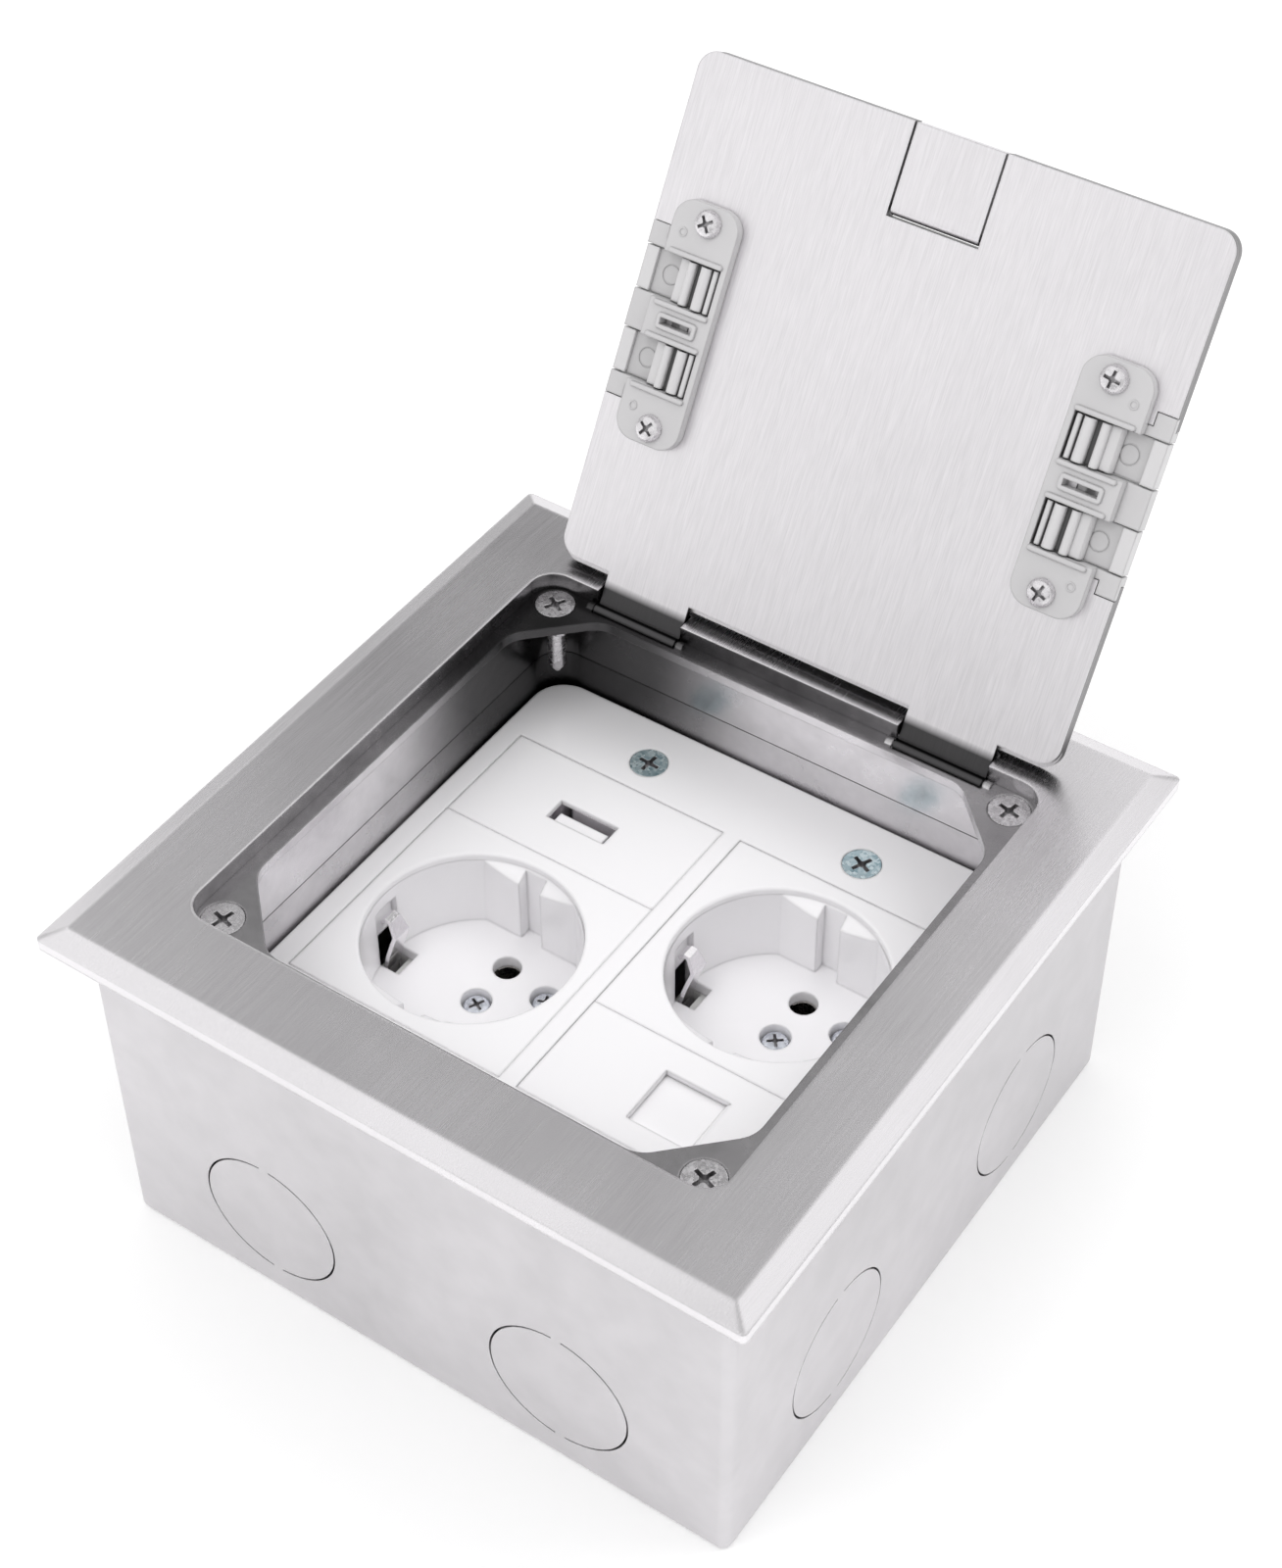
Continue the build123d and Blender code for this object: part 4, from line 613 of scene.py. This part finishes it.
def rows_to_loops(tree, rows, steps):
    """A closed skin through rows of (half width, half depth, corner radius, height)."""
    around = sum_node(tree, "MULTIPLY", steps, corner_count)
    columns = sum_node(tree, "ADD", around, 1.0)
    sheet = add_node(tree, "GeometryNodeMeshGrid", {"Vertices X": columns, "Vertices Y": len(rows)})
    grid_place = add_node(tree, "GeometryNodeInputPosition").outputs[0]
    spot = add_node(tree, "ShaderNodeSeparateXYZ", {0: grid_place}).outputs
    column = sum_node(tree, "MULTIPLY", sum_node(tree, "ADD", spot[0], grid_half), around)
    column = sum_node(tree, "ROUND", column)
    row = sum_node(tree, "MULTIPLY", sum_node(tree, "ADD", spot[1], grid_half), len(rows) - 1.0)
    row = sum_node(tree, "ROUND", row)
    halves = [add_node(tree, "ShaderNodeCombineXYZ", {0: r[0], 1: r[1], 2: r[3]}).outputs[0] for r in rows]
    half = add_node(tree, "ShaderNodeSeparateXYZ", {0: row_table(tree, row, "VECTOR", halves)}).outputs
    radius = row_table(tree, row, "FLOAT", [r[2] for r in rows])
    corner = sum_node(tree, "FLOOR", sum_node(tree, "DIVIDE", column, steps))
    step = sum_node(tree, "SUBTRACT", column, sum_node(tree, "MULTIPLY", corner, steps))
    part = sum_node(tree, "DIVIDE", step, sum_node(tree, "SUBTRACT", steps, 1.0))
    turned = sum_node(tree, "MULTIPLY", sum_node(tree, "ADD", corner, part), quarter)
    middle = sum_node(tree, "MULTIPLY", sum_node(tree, "ADD", corner, 0.5), quarter)
    place = []
    for axis, wave in enumerate(("COSINE", "SINE")):
        side = sum_node(tree, "SIGN", sum_node(tree, wave, middle))
        reach = sum_node(tree, "MULTIPLY", side, sum_node(tree, "SUBTRACT", half[axis], radius))
        place.append(sum_node(tree, "MULTIPLY_ADD", radius, sum_node(tree, wave, turned), reach))
    loops = add_node(tree, "ShaderNodeCombineXYZ", {0: place[0], 1: place[1], 2: half[2]}).outputs[0]
    skin = add_node(tree, "GeometryNodeSetPosition", {"Geometry": sheet.outputs[0], "Position": loops})
    skin = add_node(tree, "GeometryNodeMergeByDistance",
                    {"Geometry": skin.outputs[0], "Distance": weld_distance})
    return skin.outputs[0]


# %% Helpers that start a tree, cut, shade and run it
def start_tree(name, inputs):
    """A Geometry Nodes tree with named inputs and one geometry output."""
    tree = bpy.data.node_groups.new(name, "GeometryNodeTree")
    tree.interface.new_socket("Geometry", in_out="OUTPUT", socket_type="NodeSocketGeometry")
    tree.interface.new_socket("Places", in_out="INPUT", socket_type="NodeSocketGeometry")
    for label, kind, value in inputs:
        socket = tree.interface.new_socket(label, in_out="INPUT", socket_type=kind)
        if value is not None:
            socket.default_value = value
    return tree, tree.nodes.new("NodeGroupInput").outputs, tree.nodes.new("NodeGroupOutput").inputs[0]


def cut_away(tree, solid, tools):
    """Mesh Boolean: takes every tool away from the solid."""
    cut = add_node(tree, "GeometryNodeMeshBoolean", {"Mesh 1": solid}, operation="DIFFERENCE", solver="EXACT")
    for tool in tools:
        tree.links.new(tool, cut.inputs["Mesh 2"])
    return cut.outputs[0]


def block(tree, size, middle, turn=(0.0, 0.0, 0.0)):
    """A box of a size at a place, for cutting with."""
    cube = add_node(tree, "GeometryNodeMeshCube", {"Size": size})
    moved = add_node(tree, "GeometryNodeTransform", {"Geometry": cube.outputs[0], "Translation": middle,
                                                     "Rotation": turn})
    return moved.outputs[0]


def shade_by_angle(tree, skin, angle):
    """Smooth shading that keeps the edges sharper than an angle."""
    soft = add_node(tree, "GeometryNodeSetShadeSmooth", {"Geometry": skin}, domain="FACE")
    steep = sum_node(tree, "GREATER_THAN", add_node(tree, "GeometryNodeInputMeshEdgeAngle").outputs[0], angle)
    crisp = add_node(tree, "GeometryNodeSetShadeSmooth",
                     {"Geometry": soft.outputs[0], "Selection": steep, "Shade Smooth": False}, domain="EDGE")
    return crisp.outputs[0]


def run_tree(name, tree, values, places, body, *nodes):
    """Runs a tree on a mesh of places and keeps the result as a plain mesh that replaces CAD nodes."""
    seed_mesh = bpy.data.meshes.new(name + "_places")
    seed_mesh.from_pydata(places, [], [])
    host = bpy.data.objects.new(name + "_host", seed_mesh)
    bpy.context.scene.collection.objects.link(host)
    modifier = host.modifiers.new("build", "NODES")
    modifier.node_group = tree
    keys = {item.name: item.identifier for item in tree.interface.items_tree if item.in_out == "INPUT"}
    for label, value in values.items():
        modifier[keys[label]] = value
    bpy.context.view_layer.update()
    evaluated = host.evaluated_get(bpy.context.evaluated_depsgraph_get())
    made = bpy.data.objects.new(name, bpy.data.meshes.new_from_object(evaluated))
    bpy.data.objects.remove(host)
    bpy.context.scene.collection.objects.link(made)
    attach(made, body)
    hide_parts(*nodes)
    return made


# %% [markdown]
# ### The bevelled frame
# The frame is one closed loop of rows: the opening's wall, the flat top, the ridge, the long
# bevel, the square outer edge and the stepped underside. Two blocks cut the reliefs that the lid's
# tabs swing in. The opening's wall gets a darker copy of the frame's metal, as painted shade.

# %% The frame's tree
frame_tree, frame_in, frame_out = start_tree("bevelled_frame", [
    ("Outer Half", "NodeSocketFloat", 0.07), ("Ridge Half", "NodeSocketFloat", 0.0662),
    ("Opening Half X", "NodeSocketFloat", 0.0532), ("Opening Half Y", "NodeSocketFloat", 0.0522),
    ("Outer Radius", "NodeSocketFloat", 0.001), ("Opening Radius", "NodeSocketFloat", 0.0048),
    ("Flange Half", "NodeSocketFloat", 0.058), ("Flange Radius", "NodeSocketFloat", 0.003),
    ("Top", "NodeSocketFloat", 0.076), ("Bevel Foot", "NodeSocketFloat", 0.0743),
    ("Ledge", "NodeSocketFloat", 0.0726), ("Bottom", "NodeSocketFloat", 0.0721),
    ("Relief Size", "NodeSocketVector", (0.0184, 0.006, 0.01)),
    ("Relief Place", "NodeSocketVector", (0.0323, 0.05289, 0.0745)),
    ("Corner Steps", "NodeSocketInt", 9),
    ("Finish", "NodeSocketMaterial", None), ("Wall Shade Finish", "NodeSocketMaterial", None)])
ridge_share = 0.4
opening = (frame_in["Opening Half X"], frame_in["Opening Half Y"], frame_in["Opening Radius"])
flange = (frame_in["Flange Half"], frame_in["Flange Half"], frame_in["Flange Radius"])
outer = (frame_in["Outer Half"], frame_in["Outer Half"], frame_in["Outer Radius"])
ridge_radius = sum_node(frame_tree, "MULTIPLY", frame_in["Outer Radius"], ridge_share)
frame_rows = [(*opening, frame_in["Ledge"]), (*opening, frame_in["Top"]),
              (frame_in["Ridge Half"], frame_in["Ridge Half"], ridge_radius, frame_in["Top"]),
              (*outer, frame_in["Bevel Foot"]), (*outer, frame_in["Bottom"]),
              (*flange, frame_in["Bottom"]), (*flange, frame_in["Ledge"]), (*opening, frame_in["Ledge"])]
frame_skin = rows_to_loops(frame_tree, frame_rows, frame_in["Corner Steps"])
other_place = vector_node(frame_tree, "MULTIPLY", frame_in["Relief Place"], (-1, 1, 1)).outputs[0]
reliefs = [block(frame_tree, frame_in["Relief Size"], frame_in["Relief Place"]),
           block(frame_tree, frame_in["Relief Size"], other_place)]
frame_skin = cut_away(frame_tree, frame_skin, reliefs)

# %% Find the opening's wall in the frame's tree, and give out the finishes
upright_limit = 0.3
frame_sharp_angle = 0.3
face_place = add_node(frame_tree, "GeometryNodeInputPosition").outputs[0]
face_spot = add_node(frame_tree, "ShaderNodeSeparateXYZ", {0: face_place}).outputs
face_normal = add_node(frame_tree, "GeometryNodeInputNormal").outputs[0]
face_looks = add_node(frame_tree, "ShaderNodeSeparateXYZ", {0: face_normal}).outputs
face_reach = sum_node(frame_tree, "MAXIMUM", sum_node(frame_tree, "ABSOLUTE", face_spot[0]),
                      sum_node(frame_tree, "ABSOLUTE", face_spot[1]))
face_tilt = sum_node(frame_tree, "ABSOLUTE", face_looks[2])
face_upright = sum_node(frame_tree, "LESS_THAN", face_tilt, upright_limit)
face_inside = sum_node(frame_tree, "LESS_THAN", face_reach, frame_in["Flange Half"])
wall_faces = sum_node(frame_tree, "MULTIPLY", face_upright, face_inside)
frame_real = add_node(frame_tree, "GeometryNodeRealizeInstances",
                      {"Geometry": shade_by_angle(frame_tree, frame_skin, frame_sharp_angle)})
frame_done = add_node(frame_tree, "GeometryNodeSetMaterial",
                      {"Geometry": frame_real.outputs[0], "Material": frame_in["Finish"]})
# The opening's wall takes the darker copy of the frame's steel, painted shade.
frame_done = add_node(frame_tree, "GeometryNodeSetMaterial",
                      {"Geometry": frame_done.outputs[0], "Selection": wall_faces,
                       "Material": frame_in["Wall Shade Finish"]})
frame_tree.links.new(frame_done.outputs[0], frame_out)

# %% Run the frame's tree
frame_ring = run_tree("frame_ring", frame_tree,
                      {"Finish": finishes["frame_stainless"], "Wall Shade Finish": finishes["frame_wall_painted_shade"]},
                      [(0, 0, 0)], "box", "frame_plate")
print("frame ring faces:", len(frame_ring.data.polygons))

# %% [markdown]
# ### The screws
# A screw is one turned profile with a cross cut into its crown. Crown 0 gives a flat sunk head and
# Crown 1 a domed one. The tree sets one screw at each place, along an axis, turned by a random
# angle from a fixed seed. The places come from the CAD screws, so each stands where it should.
# One place can take a second, brighter finish as a painted reflection, for a screw brighter than its
# neighbours.

# %% The screw's tree
screw_tree, screw_in, screw_out = start_tree("cross_screws", [
    ("Head Radius", "NodeSocketFloat", 0.0036), ("Head Height", "NodeSocketFloat", 0.002),
    ("Shank Radius", "NodeSocketFloat", 0.0017), ("Length", "NodeSocketFloat", 0.012),
    ("Crown", "NodeSocketFloat", 0.0), ("Recess", "NodeSocketFloat", 0.0042),
    ("Axis", "NodeSocketVector", (0, 0, 1)), ("Seed", "NodeSocketInt", 4),
    ("Turn Range", "NodeSocketFloat", 1.5), ("Corner Steps", "NodeSocketInt", 9),
    ("Painted Reflection Place", "NodeSocketInt", -1), ("Finish", "NodeSocketMaterial", None),
    ("Painted Reflection Finish", "NodeSocketMaterial", None), ("Recess Shade Finish", "NodeSocketMaterial", None)])


def screw_row(radius, height):
    """One circular row of the screw's profile."""
    return (radius, radius, radius, height)


def scaled(value, factor):
    """A value in the screw's tree times a number or another value."""
    return sum_node(screw_tree, "MULTIPLY", value, factor)


# %% The screw's profile, as shares of its head and shank
dome_flat_loss = 0.42
dome_lip_loss = 0.14
dome_lip_drop = 0.18
dome_rim_drop = 0.37
rim_drop = 0.18
tip_share = 0.4
head_radius = screw_in["Head Radius"]
head_height = screw_in["Head Height"]
shank_radius = screw_in["Shank Radius"]
flat_part = sum_node(screw_tree, "MULTIPLY_ADD", screw_in["Crown"], -dome_flat_loss, 1.0)
lip_part = sum_node(screw_tree, "MULTIPLY_ADD", screw_in["Crown"], -dome_lip_loss, 1.0)
rim_part = sum_node(screw_tree, "MULTIPLY_ADD", screw_in["Crown"], -dome_rim_drop, -rim_drop)
lip_height = scaled(scaled(head_height, -dome_lip_drop), screw_in["Crown"])
under_radius = add_node(screw_tree, "ShaderNodeMapRange",
                        {"Value": screw_in["Crown"], "To Min": shank_radius,
                         "To Max": head_radius}).outputs[0]
head_base = scaled(head_height, -1.0)
tip_height = scaled(screw_in["Length"], -1.0)
screw_rows = [screw_row(0.0, 0.0), screw_row(scaled(head_radius, flat_part), 0.0),
              screw_row(scaled(head_radius, lip_part), lip_height),
              screw_row(head_radius, scaled(head_height, rim_part)),
              screw_row(under_radius, head_base), screw_row(shank_radius, head_base),
              screw_row(shank_radius, sum_node(screw_tree, "ADD", tip_height, shank_radius)),
              screw_row(scaled(shank_radius, tip_share), tip_height), screw_row(0.0, tip_height)]
screw_skin = rows_to_loops(screw_tree, screw_rows, screw_in["Corner Steps"])

# %% The cross in its crown, as shares of the recess's size
arm_share = 0.18
hub_share = 0.36
depth_share = 0.7
cross_size = screw_in["Recess"]
arm_width = scaled(cross_size, arm_share)
hub_width = scaled(cross_size, hub_share)
cross_depth = scaled(cross_size, depth_share)
cross_blocks = []
for across, along, turn in ((cross_size, arm_width, 0.0), (arm_width, cross_size, 0.0),
                            (hub_width, hub_width, quarter / 2)):
    block_size = add_node(screw_tree, "ShaderNodeCombineXYZ", {0: across, 1: along, 2: cross_depth})
    cross_blocks.append(block(screw_tree, block_size.outputs[0], (0.0, 0.0, 0.0), (0.0, 0.0, turn)))
screw_skin = cut_away(screw_tree, screw_skin, cross_blocks)

# %% Mark the faces inside the cross
mark_reach = 0.53
mark_depth = 0.52
crown_skin = 0.00004
screw_sharp_angle = 0.55
screw_place = add_node(screw_tree, "GeometryNodeInputPosition").outputs[0]
screw_spot = add_node(screw_tree, "ShaderNodeSeparateXYZ", {0: screw_place}).outputs
flat_place = add_node(screw_tree, "ShaderNodeCombineXYZ", {0: screw_spot[0], 1: screw_spot[1]}).outputs[0]
from_axis = vector_node(screw_tree, "LENGTH", flat_place).outputs["Value"]
near_axis = sum_node(screw_tree, "LESS_THAN", from_axis, scaled(cross_size, mark_reach))
under_crown = sum_node(screw_tree, "LESS_THAN", screw_spot[2], -crown_skin)
above_foot = sum_node(screw_tree, "GREATER_THAN", screw_spot[2], scaled(cross_depth, -mark_depth))
in_cross = scaled(scaled(near_axis, under_crown), above_foot)
marked_screw = add_node(screw_tree, "GeometryNodeStoreNamedAttribute",
                        {"Geometry": shade_by_angle(screw_tree, screw_skin, screw_sharp_angle),
                         "Name": "recess", "Value": in_cross}, data_type="FLOAT", domain="FACE")

# %% Set one screw at each place, and give out the finishes
number_slack = 0.1
marked_above = 0.5
along_axis = add_node(screw_tree, "FunctionNodeAlignRotationToVector", {"Vector": screw_in["Axis"]}, axis="Z")
random_angle = add_node(screw_tree, "FunctionNodeRandomValue",
                        {"Seed": screw_in["Seed"], 3: screw_in["Turn Range"]}, data_type="FLOAT")
spin = add_node(screw_tree, "FunctionNodeAxisAngleToRotation",
                {"Axis": (0, 0, 1), "Angle": random_angle.outputs[1]})
screw_turn = add_node(screw_tree, "FunctionNodeRotateRotation",
                      {"Rotation": along_axis.outputs[0], "Rotate By": spin.outputs[0]},
                      rotation_space="LOCAL")
screw_set = add_node(screw_tree, "GeometryNodeInstanceOnPoints",
                     {"Points": screw_in["Places"], "Instance": marked_screw.outputs[0],
                      "Rotation": screw_turn.outputs[0]})
screw_number = add_node(screw_tree, "GeometryNodeInputIndex").outputs[0]
is_painted_reflection = sum_node(screw_tree, "COMPARE", screw_number, screw_in["Painted Reflection Place"], number_slack)
numbered_set = add_node(screw_tree, "GeometryNodeStoreNamedAttribute",
                        {"Geometry": screw_set.outputs[0], "Name": "painted_reflection", "Value": is_painted_reflection},
                        data_type="FLOAT", domain="INSTANCE")
screw_real = add_node(screw_tree, "GeometryNodeRealizeInstances", {"Geometry": numbered_set.outputs[0]})
screw_done = add_node(screw_tree, "GeometryNodeSetMaterial",
                      {"Geometry": screw_real.outputs[0], "Material": screw_in["Finish"]})
for label, finish in (("painted_reflection", "Painted Reflection Finish"), ("recess", "Recess Shade Finish")):
    mark = add_node(screw_tree, "GeometryNodeInputNamedAttribute", {"Name": label}, data_type="FLOAT")
    is_marked = sum_node(screw_tree, "GREATER_THAN", mark.outputs[0], marked_above)
    screw_done = add_node(screw_tree, "GeometryNodeSetMaterial",
                          {"Geometry": screw_done.outputs[0], "Selection": is_marked,
                           "Material": screw_in[finish]})
screw_tree.links.new(screw_done.outputs[0], screw_out)


# %% Find where the CAD screws stand
screw_reach = 0.009


def screw_places(node_name, axis):
    """The crown's middle of every screw in a CAD node, and their length, by grouping its vertices."""
    axis = Vector(axis)
    cad = cad_nodes[node_name]
    groups = []
    for vertex in cad.data.vertices:
        spot = cad.matrix_world @ vertex.co
        height = spot.dot(axis)
        across = spot - axis * height
        group = next((g for g in groups if (g["first"] - across).length < screw_reach), None)
        if group is None:
            group = {"first": across, "spots": [], "height": height, "foot": height}
            groups.append(group)
        group["spots"].append(across)
        group["height"] = max(group["height"], height)
        group["foot"] = min(group["foot"], height)
    places = []
    for group in groups:
        low = Vector([min(s[i] for s in group["spots"]) for i in range(3)])
        high = Vector([max(s[i] for s in group["spots"]) for i in range(3)])
        places.append(tuple((low + high) / 2 + axis * group["height"]))
    return sorted(places), groups[0]["height"] - groups[0]["foot"]


# %% Run the screw tree for each kind of screw
# Each kind: node, body, axis, head radius, head height, shank radius, crown, recess, finish and seed.
upward = (0, 0, 1)
screw_kinds = [("corner_screws", "box", upward, 0.00375, 0.0019, 0.0017, 0.0, 0.0043, "dark_screw", 3),
               ("panel_screws", "box", upward, 0.0036, 0.0022, 0.0019, 0.0, 0.0042, "blue_screw", 5),
               ("socket_screws", "box", upward, 0.0026, 0.0016, 0.0015, 1.0, 0.0031, "zinc_screw", 7),
               ("terminal_screws", "box", upward, 0.0026, 0.0016, 0.0015, 1.0, 0.0031, "zinc_screw", 8),
               ("guide_screws", "lid", lid_normal, 0.0025, 0.0016, 0.0015, 1.0, 0.0032, "bright_screw", 11)]
for node_name, body, axis, head, height, shank, crown, recess, finish, seed in screw_kinds:
    places, length = screw_places(node_name, axis)
    # The first corner screw takes the brighter finish as a painted reflection.
    reflection_place = 0 if node_name == "corner_screws" else -1
    made = run_tree("turned_" + node_name, screw_tree,
                    {"Head Radius": head, "Head Height": height, "Shank Radius": shank, "Length": length,
                     "Crown": crown, "Recess": recess, "Axis": axis, "Seed": seed, "Finish": finishes[finish],
                     "Painted Reflection Place": reflection_place, "Painted Reflection Finish": finishes["bright_screw"],
                     "Recess Shade Finish": finishes["screw_recess_painted_shade"]},
                    places, body, node_name)
    print(node_name, len(places), "places,", len(made.data.polygons), "faces",
          [tuple(round(v * 1000, 1) for v in p) for p in places])
